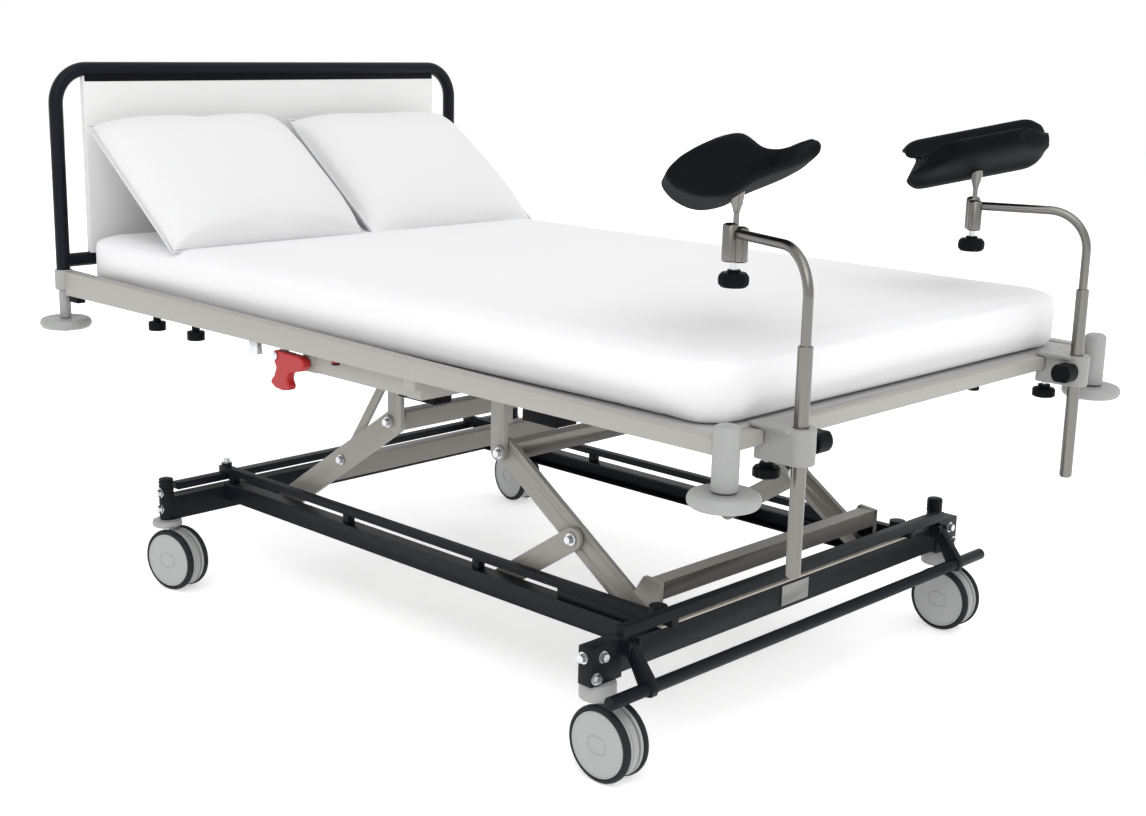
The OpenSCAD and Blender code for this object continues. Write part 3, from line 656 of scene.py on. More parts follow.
class Tree:
    """A Geometry Nodes tree with named inputs, built in code."""

    def __init__(self, name: str) -> None:
        """Makes an empty tree with a geometry output.

        Args:
            name: the tree's name.
        """
        self.tree = bpy.data.node_groups.new(name, "GeometryNodeTree")
        self.tree.interface.new_socket("Geometry", in_out="INPUT", socket_type="NodeSocketGeometry")
        self.tree.interface.new_socket("Geometry", in_out="OUTPUT", socket_type="NodeSocketGeometry")
        self.start = self.tree.nodes.new("NodeGroupInput")
        self.end = self.tree.nodes.new("NodeGroupOutput")

    def size(self, name: str, kind: str = "NodeSocketFloat") -> None:
        """Adds a named input."""
        self.tree.interface.new_socket(name, in_out="INPUT", socket_type=kind)

    def node(self, kind: str, settings: dict, inputs: dict) -> bpy.types.Node:
        """Makes any node.

        Args:
            kind: the node's type name.
            settings: attributes, set before the inputs.
            inputs: values or links, by socket index or name.

        Returns:
            The node.
        """
        made = self.tree.nodes.new(kind)
        for key, value in settings.items():
            setattr(made, key, value)
        for key, value in inputs.items():
            if isinstance(value, bpy.types.NodeSocket):
                self.tree.links.new(value, made.inputs[key])
            else:
                made.inputs[key].default_value = value
        return made

    def finish(self, geometry: bpy.types.NodeSocket) -> None:
        """Ends in Realize Instances and Set Material.

        Args:
            geometry: what the tree has made.
        """
        real = self.node("GeometryNodeRealizeInstances", {}, {0: geometry})
        paint = self.node("GeometryNodeSetMaterial", {}, {
            "Geometry": real.outputs[0], "Material": self.start.outputs["Material"]})
        self.tree.links.new(paint.outputs[0], self.end.inputs[0])

    def run(self, piece: bpy.types.Object, **values: object) -> bpy.types.Object:
        """Runs the tree on a piece and keeps the result as a plain mesh.

        Args:
            piece: an object with the points or the path.
            values: the named inputs, with _ for spaces.

        Returns:
            A new object with the result; the old one is removed.
        """
        tool = piece.modifiers.new("grow", "NODES")
        tool.node_group = self.tree
        for item in self.tree.interface.items_tree:
            key = item.name.replace(" ", "_")
            if item.in_out == "INPUT" and key in values:
                tool[item.identifier] = values[key]
        graph = bpy.context.evaluated_depsgraph_get()
        graph.update()
        mesh = bpy.data.meshes.new_from_object(piece.evaluated_get(graph))
        name = piece.name
        bpy.data.objects.remove(piece)
        mesh.name = name
        smooth(mesh, 32.0)
        return link(name, mesh)


def bolt_tree() -> Tree:
    """Tree that sets a tapered hexagon bolt head with a washer on every face.

    Returns:
        The tree.
    """
    t = Tree("bolts")
    for name in ("Head radius", "Head height", "Washer radius", "Washer height"):
        t.size(name)
    t.size("Material", "NodeSocketMaterial")
    size = t.start.outputs
    head = t.node("GeometryNodeMeshCone", {"fill_type": "NGON"}, {
        "Vertices": 6, "Radius Bottom": size["Head radius"], "Depth": size["Head height"]})
    shrink = t.node("ShaderNodeMath", {"operation": "MULTIPLY"}, {0: size["Head radius"], 1: 0.9})
    t.tree.links.new(shrink.outputs[0], head.inputs["Radius Top"])
    washer = t.node("GeometryNodeMeshCylinder", {}, {
        "Vertices": 28, "Radius": size["Washer radius"], "Depth": size["Washer height"]})
    lift = t.node("ShaderNodeCombineXYZ", {}, {"Z": size["Washer height"]})
    seat = t.node("GeometryNodeTransform", {}, {"Geometry": head.outputs[0], "Translation": lift.outputs[0]})
    both = t.node("GeometryNodeJoinGeometry", {}, {})
    t.tree.links.new(seat.outputs[0], both.inputs[0])
    t.tree.links.new(washer.outputs[0], both.inputs[0])
    normal = t.node("GeometryNodeInputNormal", {}, {})
    turn = t.node("FunctionNodeAlignEulerToVector", {"axis": "Z"}, {"Vector": normal.outputs[0]})
    spots = t.node("GeometryNodeMeshToPoints", {"mode": "FACES"}, {
        "Mesh": t.start.outputs[0], "Radius": 0.001})
    keep = t.node("GeometryNodeCaptureAttribute", {"domain": "FACE"}, {0: t.start.outputs[0]})
    keep.capture_items.new("VECTOR", "way")
    t.tree.links.new(turn.outputs[0], keep.inputs[1])
    t.tree.links.new(keep.outputs[0], spots.inputs["Mesh"])
    many = t.node("GeometryNodeInstanceOnPoints", {}, {
        "Points": spots.outputs[0], "Instance": both.outputs[0], "Rotation": keep.outputs[1]})
    t.finish(many.outputs[0])
    return t


def bar_tree() -> Tree:
    """Tree that runs a round bar along an edge path.

    Returns:
        The tree.
    """
    t = Tree("round_bar")
    t.size("Radius")
    t.size("Steps", "NodeSocketInt")
    t.size("Material", "NodeSocketMaterial")
    path = t.node("GeometryNodeMeshToCurve", {}, {0: t.start.outputs[0]})
    ring = t.node("GeometryNodeCurvePrimitiveCircle", {"mode": "RADIUS"}, {
        "Radius": t.start.outputs["Radius"], "Resolution": t.start.outputs["Steps"]})
    bar = t.node("GeometryNodeCurveToMesh", {}, {
        "Curve": path.outputs[0], "Profile Curve": ring.outputs[0], "Fill Caps": True})
    t.finish(bar.outputs[0])
    return t


def points_on(name: str, spots: Sequence[tuple[Vector, Vector]]) -> bpy.types.Object:
    """Tiny faces for the bolt tree.

    Args:
        name: the object's name.
        spots: place and facing of each face.

    Returns:
        The object.
    """
    form = bmesh.new()
    for spot, way in spots:
        side = way.orthogonal().normalized() * 1e-4
        other = way.cross(side).normalized() * 1e-4
        corners = [form.verts.new(spot + a * side + b * other)
                   for a, b in ((-1, -1), (1, -1), (1, 1), (-1, 1))]
        made = form.faces.new(corners)
        made.normal_update()
        if made.normal.dot(way) < 0:
            made.normal_flip()
    mesh = bpy.data.meshes.new(name)
    form.to_mesh(mesh)
    form.free()
    return link(name, mesh)


def path_of(name: str, path: Sequence[Vector], loop: bool = False) -> bpy.types.Object:
    """An edge path as an object, for the bar tree.

    Args:
        name: the object's name.
        path: points along it.
        loop: whether it closes.

    Returns:
        The object.
    """
    mesh = bpy.data.meshes.new(name)
    edges = [(i, i + 1) for i in range(len(path) - 1)]
    if loop:
        edges.append((len(path) - 1, 0))
    mesh.from_pydata([tuple(p) for p in path], edges, [])
    return link(name, mesh)


# ---------------------------------------------------------------- places from the record

JOINTS = {joint["name"]: joint for joint in frame["record"]["behaviour"]["joints"]}


def pivot(joint: str) -> Vector:
    """Where a joint of the record sits."""
    return Vector(JOINTS[joint]["pos_m"])


@dataclass
class Carried:
    """A CAD node that keeps its form and gets rounded edges and a finish."""

    node: str
    body: str
    slot: str
    finish: Finish
    width: float = 0.002
    segments: int = 2

    def build(self) -> bpy.types.Object:
        """Makes the piece."""
        piece = carried(self.node, self.node + "_dressed", self.width, self.segments)
        return dress(piece, self.finish, self.body, self.slot, self.node)


# ---------------------------------------------------------------- base


@dataclass
class Bolts:
    """Hexagon bolts with washers, set by the bolt tree."""

    head: float = 0.0095
    height: float = 0.007
    washer: float = 0.0118
    washer_height: float = 0.0022

    def build(self, name: str, body: str, node: str,
              spots: Sequence[tuple[Vector, Vector]]) -> bpy.types.Object:
        """Sets one bolt on every spot.

        Args:
            name: the piece's name.
            body: its body.
            node: the CAD node that it replaces.
            spots: place and facing of each bolt.

        Returns:
            The piece.
        """
        seeds = points_on(name, spots)
        piece = bolt_tree().run(
            seeds, Head_radius=self.head, Head_height=self.height, Washer_radius=self.washer,
            Washer_height=self.washer_height, Material=Finish.ZINC.get())
        return dress(piece, Finish.ZINC, body, "zinc", *((node,) if node else ()))


@dataclass
class Base:
    """Wheeled base: rails, beams, corner blocks, head posts, strip and plate."""

    post_radius: float = 0.018
    post_top: float = 0.272
    post_foot: float = 0.168
    rib_pitch: float = 0.009
    cap_low: float = 0.284
    cap_top: float = 0.315
    peg_aside: float = 0.026
    strip_height: float = 0.0035
    strip_reach: float = 0.430
    bolt_height: float = 0.240

    def strip(self) -> None:
        """Beige strip on the foot beam's top."""
        beam = pivot("caster_fl_swivel").y - 0.018
        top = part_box("blank_plate")[1].z + 0.006
        form = Form().slab((-self.strip_reach - 0.001, beam - 0.0012, top - 0.001),
                           (self.strip_reach + 0.001, beam + 0.0125, top + self.strip_height))
        dress(bevel(form.done("beam_strip"), 0.0008), Finish.STRIP, "base", "plate_grey")

    def posts(self) -> None:
        """Round head posts with a domed, ribbed cap."""
        form = Form()
        for joint in ("caster_hl_swivel", "caster_hr_swivel"):
            centre = pivot(joint)
            spot = (centre.x, centre.y, 0.0)
            r = self.post_radius
            profile = [(0.0, self.post_foot), (r - 0.003, self.post_foot), (r, self.post_foot + 0.003)]
            level = self.post_top - 4 * self.rib_pitch
            for k in range(4):
                z = level + k * self.rib_pitch
                profile += [(r, z), (r - 0.0016, z + 0.0015), (r - 0.0016, z + 0.003), (r, z + 0.0045)]
            profile += [(r - 0.002, self.post_top - 0.002), (r - 0.008, self.post_top),
                        (0.0, self.post_top + 0.001)]
            form.lathe(profile, spot, "z", 40)
        dress(form.done("head_posts"), Finish.BASE, "base", "base_black", "caster_posts")

    def foot_cap(self) -> None:
        """Ribbed cap on the peg of the right foot corner."""
        foot, r, low, top = pivot("caster_fr_swivel"), self.post_radius, self.cap_low, self.cap_top
        rows = [(0.0168, low), (r, low + 0.001)]
        for k in range(3):
            z = low + 0.002 + k * self.rib_pitch
            rows += [(r, z + 0.004), (r - 0.0014, z + 0.005), (r - 0.0014, z + 0.0065), (r, z + 0.0075)]
        rows += [(r - 0.002, top - 0.0015), (r - 0.006, top - 0.0002), (0.0, top)]
        cap = Form().lathe(rows, (foot.x - self.peg_aside, foot.y, 0), "z", 40).done("foot_post_cap")
        dress(cap, Finish.BASE, "base", "base_black")

    def bolts(self) -> None:
        """Bolts of the corner blocks and of the head posts."""
        spots = []
        foot, head, front = pivot("caster_fr_swivel"), pivot("caster_hr_swivel"), Vector((0, -1, 0))
        for side in (-1, 1):
            out = Vector((side, 0, 0))
            spots.append((Vector((side * (foot.x + 0.042), foot.y, self.bolt_height)), out))
            spots.append((Vector((side * (foot.x + 0.012), foot.y - 0.022, self.bolt_height)), front))
            spots.append((Vector((side * (foot.x + 0.030), foot.y - 0.022, self.bolt_height - 0.038)), front))
            for z in (self.bolt_height - 0.004, self.bolt_height - 0.044):
                spots.append((Vector((side * (head.x + self.post_radius - 0.0015), head.y, z)), out))
        Bolts().build("base_bolts", "base", "base_fasteners", spots)

    def build(self) -> None:
        """Builds the base."""
        Carried("base_frame", "base", "base_black", Finish.BASE, 0.0022).build()
        Carried("rail_guides", "base", "base_black", Finish.BASE, 0.0012).build()
        Carried("blank_plate", "base", "plate_grey", Finish.PLATE, 0.0006).build()
        self.strip()
        self.posts()
        self.foot_cap()
        self.bolts()


@dataclass
class Brake:
    """Foot brake: round cross bar with its pedal arms, and the link frame."""

    edge: float = 0.003

    def build(self) -> None:
        """Builds the brake."""
        Carried("brake_pedal", "brake_pedal", "base_black", Finish.BASE, self.edge, 3).build()
        Carried("brake_link", "brake_link", "base_black", Finish.BASE, self.edge * 0.8, 3).build()
        low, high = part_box("link_bolts")
        spots = [(Vector((side * (high.x - 0.009), (low.y + high.y) / 2, low.z)), Vector((0, 0, 1)))
                 for side in (-1, 1)]
        Bolts().build("link_frame_bolts", "brake_link", "link_bolts", spots)


# ---------------------------------------------------------------- casters


@dataclass
class Caster:
    """Twin-wheel caster: moulded hood and guard, two tyres, two hub caps and inner discs."""

    key: str
    wheel_radius: float = 0.075
    half_width: float = 0.034
    tyre_width: float = 0.023
    cap_radius: float = 0.0645
    emboss: float = 0.0009
    hood_radius: float = 0.036
    stem_radius: float = 0.011
    foot_hood: float = 0.1867
    head_stem: float = 0.0623
    guard_radius: float = 0.0705
    guard_half: float = 0.0092

    def __post_init__(self) -> None:
        """Reads the axle and the stem from the record."""
        roll = JOINTS[f"caster_{self.key}_roll"]
        self.axle = Vector(roll["pos_m"])
        self.side = Vector(roll["axis"]).normalized()
        self.stem = pivot(f"caster_{self.key}_swivel")
        self.turn = Matrix.Translation(self.axle) @ Matrix.Rotation(
            math.atan2(self.side.y, self.side.x), 4, "Z")

    def settle(self, piece: bpy.types.Object) -> bpy.types.Object:
        """Moves a piece drawn about the axle along X to this wheel pair."""
        piece.data.transform(self.turn)
        return piece

    def tyres(self) -> None:
        """Two thin rounded tyres and the axle between them."""
        form = Form()
        r, inner, outer = self.wheel_radius, self.half_width - self.tyre_width, self.half_width
        for side in (-1, 1):
            profile = [(0.058, outer - 0.0165), (r - 0.004, outer - 0.0165), (r - 0.0015, outer - 0.0155),
                       (r, outer - 0.013), (r, outer - 0.008), (r - 0.0012, outer - 0.0045),
                       (r - 0.0040, outer - 0.0018), (r - 0.0070, outer - 0.0008),
                       (r - 0.0090, outer - 0.0014),
                       (r - 0.0098, outer - 0.004), (0.058, outer - 0.004)]
            form.lathe([(q, side * h) for q, h in profile + profile[:1]], (0, 0, 0), "x", 96)
        form.lathe([(0.0, -inner), (0.0066, -inner), (0.0066, inner), (0.0, inner)], (0, 0, 0), "x", 32)
        piece = self.settle(form.done(f"tyres_{self.key}", 40.0))
        dress(piece, Finish.TYRE, f"wheels_{self.key}", "tyre", f"caster_{self.key}_wheels")

    def hood(self) -> None:
        """Moulded hood on its stem, and the round guard between the wheels."""
        body = f"caster_{self.key}"
        high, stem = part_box(f"caster_{self.key}_fork")[1].z, self.stem_radius
        top = self.hood_top(high)
        r, foot = self.hood_radius, 2 * self.wheel_radius + 0.0015
        profile = [(0.0, foot), (r - 0.004, foot), (r - 0.001, foot + 0.002), (r, foot + 0.006),
                   (r - 0.0004, top - 0.006), (r - 0.002, top - 0.0022), (r - 0.006, top - 0.0002),
                   (stem + 0.006, top), (stem, top), (stem, high - 0.001), (stem - 0.001, high), (0.0, high)]
        cap = Form().lathe(profile, (self.stem.x, self.stem.y, 0), "z", 64).done(f"hood_{self.key}", 40.0)
        dress(cap, Finish.PALE, body, "bumper_grey", f"caster_{self.key}_fork")
        g, h = self.guard_radius, self.guard_half
        line = [(0.0085, -h), (g - 0.003, -h), (g, -h + 0.003), (g, h - 0.003), (g - 0.003, h), (0.0085, h),
                (0.0085, -h)]
        guard = Form().lathe(line, (0, 0, 0), "x", 96).done(f"guard_{self.key}", 40.0)
        dress(self.settle(guard), Finish.PALE, body, "bumper_grey")

    def hood_top(self, stem_top: float) -> float:
        """Height of the hood's flat top, from the stem's top."""
        return self.foot_hood if self.key[0] == "f" else stem_top - self.head_stem

    def caps(self) -> None:
        """Domed hub caps with a raised rim, the inner discs and the emboss."""
        form = Form()
        outer = self.half_width
        for side in (-1, 1):
            c = self.cap_radius
            profile = [(0.010, outer - 0.012), (c, outer - 0.012), (c, outer - 0.0022),
                       (c - 0.0008, outer - 0.0010), (c - 0.0026, outer - 0.0008),
                       (c - 0.0036, outer - 0.0022), (c - 0.006, outer - 0.0024), (c * 0.7, outer - 0.0012),
                       (c * 0.4, outer - 0.0002), (c * 0.15, outer), (0.0, outer)]
            form.lathe([(q, side * h) for q, h in profile], (0, 0, 0), "x", 96)
            inner = self.half_width - self.tyre_width
            back = [(0.0068, inner + 0.0002), (0.060, inner + 0.0002), (0.0705, inner + 0.001),
                    (0.0715, inner + 0.002), (0.0715, outer - 0.0168), (0.0068, outer - 0.0168),
                    (0.0068, inner + 0.0002)]
            form.lathe([(q, side * h) for q, h in back], (0, 0, 0), "x", 96)
        piece = self.settle(form.done(f"caps_{self.key}", 30.0))
        dress(piece, Finish.CAP, f"wheels_{self.key}", "bumper_grey")
        self.ring()

    def ring(self) -> None:
        """Raised line on each cap: a rounded loop."""
        bars = Form()
        for side in (-1, 1):
            path = []
            for i in range(49):
                a = math.tau * i / 48
                u = 0.017 * math.copysign(abs(math.cos(a)) ** 0.8, math.cos(a))
                v = 0.022 * math.copysign(abs(math.sin(a)) ** 0.7, math.sin(a))
                drop = self.half_width + 0.0001 - 0.3 * (u * u + v * v)
                path.append(Vector((side * drop, v, u)))
            bars.sweep(path, self.emboss, 8)
        piece = self.settle(bars.done(f"cap_lines_{self.key}"))
        dress(piece, Finish.PALE, f"wheels_{self.key}", "bumper_grey")

    def build(self) -> None:
        """Builds the caster."""
        self.hood()
        self.tyres()
        self.caps()


# ---------------------------------------------------------------- lift and bed


@dataclass
class Lift:
    """Lift: short links with their pins, foot arms, head arms and their rollers."""

    edge: float = 0.0022
    fine_edge: float = 0.0012
    stud: float = 0.003
    strap_at: float = 0.46

    def build(self) -> None:
        """Builds the lift."""
        Carried("lift_links", "lift_links", "arm_grey", Finish.ARM, self.edge).build()
        Carried("link_pins", "lift_links", "zinc", Finish.ZINC, self.fine_edge).build()
        for end in ("foot", "head"):
            arms = f"{end}_arms"
            Carried(arms, arms, "arm_grey", Finish.ARM, self.edge, 3).build()
            Carried(f"{end}_sliders", arms, "black_plastic", Finish.BLACK, self.fine_edge).build()
        self.bolts()

    def bolts(self) -> None:
        """Hexagon bolts on the pivots and through the diagonal straps."""
        foot, head, mid = pivot("bed_pivot"), pivot("head_arm_pivot"), pivot("foot_arm_pivot")
        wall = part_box("lift_brackets")[1].x
        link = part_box("link_pins")[1].x
        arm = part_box("foot_arms")[1].x
        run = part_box("head_sliders")[1].y - 0.018 - head.y
        fall = head.z - pivot("lift").z
        strap = head + self.strap_at * Vector((0, run, -fall))
        for name, body, spots in (
                ("bracket_bolts", "bed", [(wall, foot), (wall, head)]),
                ("link_bolts_mid", "lift_links", [(link, mid)]),
                ("strap_bolts", "head_arms", [(arm + self.stud, strap)])):
            pairs = [(Vector((way * x, at.y, at.z)), Vector((way, 0, 0)))
                     for x, at in spots for way in (-1, 1)]
            Bolts().build(name, body, "", pairs)


@dataclass
class BedFrame:
    """Bed frame with its brackets, decks, stops, control box and release handle."""

    edge: float = 0.0032
    cap_x: float = 0.634
    cap_ahead: float = 0.192
    cap_z: float = 0.686

    def build(self) -> None:
        """Builds the bed frame."""
        Carried("bed_frame", "bed", "frame_grey", Finish.FRAME, self.edge, 3).build()
        Carried("lift_brackets", "bed", "frame_grey", Finish.BRACKET, 0.0015).build()
        Carried("control_box", "bed", "black_plastic", Finish.BLACK, 0.003, 3).build()
        Carried("rail_stops", "bed", "black_plastic", Finish.BLACK, 0.0014).build()
        Carried("seat_deck", "bed", "deck_grey", Finish.DECK, 0.0015).build()
        Carried("back_deck", "back", "deck_grey", Finish.DECK, 0.0010).build()
        Carried("handle_pivot", "bed", "zinc", Finish.ZINC, 0.001).build()
        dress(softened("release_handle", "release_lever", 0.0018, 8), Finish.RED, "release_handle", "red",
              "release_handle")
        dome = [(0.0, -0.0118), (0.004, -0.0114), (0.0078, -0.009), (0.0095, -0.005), (0.0096, 0.0),
                (0.0, 0.0)]
        spot = (-self.cap_x, pivot("release_handle_hinge").y - self.cap_ahead, self.cap_z)
        cap = Form().lathe(dome, spot, "z", 32)
        dress(cap.done("cable_end_cap"), Finish.RED, "bed", "red")


@dataclass
class Bumpers:
    """Corner posts with domed caps, and the soft-edged discs under them."""

    post_radius: float = 0.023
    post_top: float = 0.741
    disc_radius: float = 0.0625
    disc_half: float = 0.013
    nut: Outline = ((0.0, 0.0203), (0.015, 0.0203), (0.017, 0.0185), (0.017, 0.0145), (0.008, 0.014),
                    (0.0, 0.014))

    def posts(self) -> None:
        """Foot posts and head sleeves, with the spindles and nuts that hold the discs."""
        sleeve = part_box("bumper_posts")[1].z
        foot, head = pivot("bumper_fr_spin"), pivot("bumper_hr_spin")
        top_disc = foot.z + self.disc_half
        form = Form()
        for side in (-1, 1):
            r, top = self.post_radius, self.post_top
            profile = [(0.0, top_disc - 0.030), (0.008, top_disc - 0.030), (0.008, top_disc + 0.001),
                       (r - 0.002, top_disc + 0.001), (r, top_disc + 0.003), (r, top - 0.009),
                       (r - 0.0006, top - 0.0065), (r - 0.004, top - 0.003), (r - 0.0075, top - 0.001),
                       (0.0, top)]
            form.lathe(profile, (side * foot.x, foot.y, 0), "z", 48)
            s = self.post_radius - 0.001
            profile = [(0.0, top_disc - 0.030), (0.008, top_disc - 0.030), (0.008, top_disc + 0.001),
                       (0.014, top_disc + 0.001), (0.014, 0.6965), (s - 0.002, 0.698), (s, 0.700),
                       (s, sleeve - 0.003), (s - 0.002, sleeve - 0.0006), (0.0172, sleeve - 0.0006),
                       (0.0, sleeve - 0.0006)]
            form.lathe(profile, (side * head.x, head.y, 0), "z", 48)
            for y in (foot.y, head.y):
                form.lathe([(q, foot.z - drop) for q, drop in self.nut], (side * foot.x, y, 0), "z", 36)
        dress(form.done("bumper_posts_dressed"), Finish.PALE, "bed", "bumper_grey", "bumper_posts")

    def disc(self, key: str) -> None:
        """One disc with a full round edge and a shallow dish on both faces.

        Args:
            key: its corner.
        """
        centre = pivot(f"bumper_{key}_spin")
        r, h = self.disc_radius, self.disc_half
        profile = [(0.009, -h + 0.0015), (r * 0.5, -h + 0.0015), (r * 0.58, -h)]
        for i in range(13):
            a = -math.pi / 2 + math.pi * i / 12
            round_off = math.cos(a) ** 0.9 if abs(math.cos(a)) > 1e-6 else 0.0
            profile.append((r - h + h * round_off, h * math.sin(a)))
        profile += [(r * 0.58, h), (r * 0.5, h - 0.0015), (0.009, h - 0.0015)]
        form = Form().lathe([(q, z + centre.z) for q, z in profile], (centre.x, centre.y, 0), "z", 72)
        dress(form.done(f"disc_{key}"), Finish.PALE, f"bumper_{key}", "bumper_grey", f"bumper_{key}")

    def build(self) -> None:
        """Builds the posts and the four discs."""
        self.posts()
        for key in CORNERS:
            self.disc(key)


# ---------------------------------------------------------------- headboard


@dataclass
class Headboard:
    """Bent tube with a lower bar, white panel and dark top strip."""

    tube_radius: float = 0.017
    bend: float = 0.085
    half_span: float = 0.640
    top: float = 1.236
    low: float = 0.769
    foot: float = 0.7185
    panel_half: float = 0.009
    panel_gap: float = 0.054
    strip_height: float = 0.013

    def __post_init__(self) -> None:
        """Reads the plane of the headboard."""
        self.y = pivot("bumper_hr_spin").y

    def tube(self) -> None:
        """Tube along its bent path, and the lower bar."""
        r = self.bend
        at = self.half_span - r
        up = self.top - r
        left = arc(Vector((-at, self.y, up)), Vector((-r, 0, 0)), Vector((0, 0, r)), 14)
        right = arc(Vector((at, self.y, up)), Vector((0, 0, r)), Vector((r, 0, 0)), 14)
        ends = [Vector((side * self.half_span, self.y, self.foot)) for side in (-1, 1)]
        low = [Vector((side * (self.half_span - 0.008), self.y, self.low)) for side in (-1, 1)]
        tree = bar_tree()
        for name, path, nodes in (("headboard_tube", [ends[0], *left, *right, ends[1]], ["headboard_frame"]),
                                  ("headboard_low_bar", low, [])):
            piece = tree.run(path_of(name, path), Radius=self.tube_radius, Steps=32,
                             Material=Finish.TUBE.get())
            dress(piece, Finish.TUBE, "bed", "tube_black", *nodes)

    def panel(self) -> None:
        """Panel with soft edges and the strip under the tube."""
        half = self.half_span - self.tube_radius - self.panel_gap
        h = self.panel_half
        under = self.top - self.tube_radius * 0.6
        slab = Form().slab((-half, self.y - h, self.low + 0.006), (half, self.y + h, under))
        dress(bevel(slab.done("headboard_panel_sheet"), 0.006, 4), Finish.PANEL, "bed", "panel_white",
              "headboard_panel")
        wide, deep, edge = half - 0.004, h + 0.0012, self.top - self.tube_radius
        strip = Form().slab((-wide, self.y - deep, edge - self.strip_height),
                            (wide, self.y + deep, edge + 0.004))
        dress(bevel(strip.done("headboard_strip"), 0.0012), Finish.BLACK, "bed", "black_plastic")

    def build(self) -> None:
        """Builds the headboard."""
        self.tube()
        self.panel()


# ---------------------------------------------------------------- soft goods


def remeshed(piece: bpy.types.Object, voxel: float, passes: int) -> bpy.types.Object:
    """Turns a closed shape into even quads with softened edges.

    Args:
        piece: the closed shape.
        voxel: size of the quads.
        passes: smoothing steps.

    Returns:
        The piece.
    """
    tool = piece.modifiers.new("even", "REMESH")
    tool.mode = "VOXEL"
    tool.voxel_size = voxel
    soft = piece.modifiers.new("soften", "SMOOTH")
    soft.factor = 0.5
    soft.iterations = passes
    bake(piece)
    smooth(piece.data, 180.0)
    return piece


def softened(node: str, name: str, voxel: float, passes: int) -> bpy.types.Object:
    """A CAD node as a casting or moulding with rounded edges throughout."""
    return remeshed(carried(node, name, 0.0008, 1), voxel, passes)


def inflate(piece: bpy.types.Object, pressure: float, frames: int, cap: float) -> bpy.types.Object:
    """Lets a closed skin swell for a few frames, within a limit.

    Args:
        piece: the skin.
        pressure: force inside it.
        frames: how long it swells.
        cap: the farthest that a point moves.

    Returns:
        The piece.
    """
    start = [v.co.copy() for v in piece.data.vertices]
    tool = piece.modifiers.new("swell", "CLOTH")
    how = tool.settings
    how.quality = 4
    how.mass = 0.3
    how.use_pressure = True
    how.uniform_pressure_force = pressure
    how.effector_weights.gravity = 0.0
    how.tension_stiffness = how.compression_stiffness = how.shear_stiffness = 12.0
    how.bending_stiffness = 0.6
    tool.point_cache.frame_start = 1
    tool.point_cache.frame_end = frames
    stage = bpy.context.scene
    for number in range(1, frames + 1):
        stage.frame_set(number)
    bake(piece)
    stage.frame_set(1)
    for vertex, rest in zip(piece.data.vertices, start):
        move = vertex.co - rest
        vertex.co = rest + move * (cap / max(cap, move.length))
    smooth(piece.data, 180.0)
    return piece


def refine(piece: bpy.types.Object, levels: int = 1) -> bpy.types.Object:
    """Subdivides a soft piece and applies it.

    Args:
        piece: the object.
        levels: how often.

    Returns:
        The piece.
    """
    tool = piece.modifiers.new("refine", "SUBSURF")
    tool.levels = tool.render_levels = levels
    bake(piece)
    smooth(piece.data, 180.0)
    return piece


@dataclass
class Mattress:
    """Soft mattress over both decks."""

    corner: float = 0.080
    inset: float = 0.001
    voxel: float = 0.0156
    crown: float = 0.007
    ripple: float = 0.0022
    fold_reach: float = 0.075

    def build(self) -> None:
        """Builds the mattress."""
        low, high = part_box("mattress_seat")[0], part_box("mattress_back")[1]
        half, y0, y1 = high.x - self.inset, low.y + self.inset, high.y - self.inset
        r = self.corner
        outline = []
        for cx, cy, turn in ((half - r, y0 + r, -90), (half - r, y1 - r, 0), (-half + r, y1 - r, 90),
                             (-half + r, y0 + r, 180)):
            for i in range(9):
                a = math.radians(turn + 90 * i / 8)
                outline.append(Vector((cx + r * math.cos(a), cy + r * math.sin(a), low.z + 0.0008)))
        piece = Form().outline(outline, Vector((0, 0, high.z - low.z - 0.0012))).done("mattress_soft")
        remeshed(piece, self.voxel, 4)
        inflate(piece, 1.5, 10, 0.006)
        middle = (y0 + y1) / 2
        for vertex in piece.data.vertices:
            p = vertex.co
            u, v = p.x / half, (p.y - middle) / ((y1 - y0) / 2)
            edge = max(0.0, (1 - u ** 4)) * max(0.0, (1 - v ** 6))
            up = max(0.0, min(1.0, (p.z - low.z) / (high.z - low.z)))
            wave = noise.noise(Vector((p.x * 3.1, p.y * 1.6, 2.0))) + 0.5 * noise.noise(
                Vector((p.x * 8.0, p.y * 6.0, p.z * 7.0)))
            p.z -= up * up * (self.crown * (1 - edge) + self.ripple * (wave + 1.0) * 0.6)
            side = 0.35 * self.ripple * noise.noise(Vector((p.x * 9.0, p.y * 7.0, p.z * 14.0)))
            p.x -= math.copysign(abs(side) + 0.0002, p.x) * abs(u) ** 8
            p.z = max(low.z + 0.0004, min(p.z, high.z - 0.0006))
            p.x = max(-half - 0.004, min(p.x, half + 0.004))
            p.y = max(y0 - 0.004, min(p.y, y1 + 0.004))
        refine(piece)
        dress(piece, Finish.COVER, "", "cover_white", "mattress_seat", "mattress_back")
        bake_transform(piece)


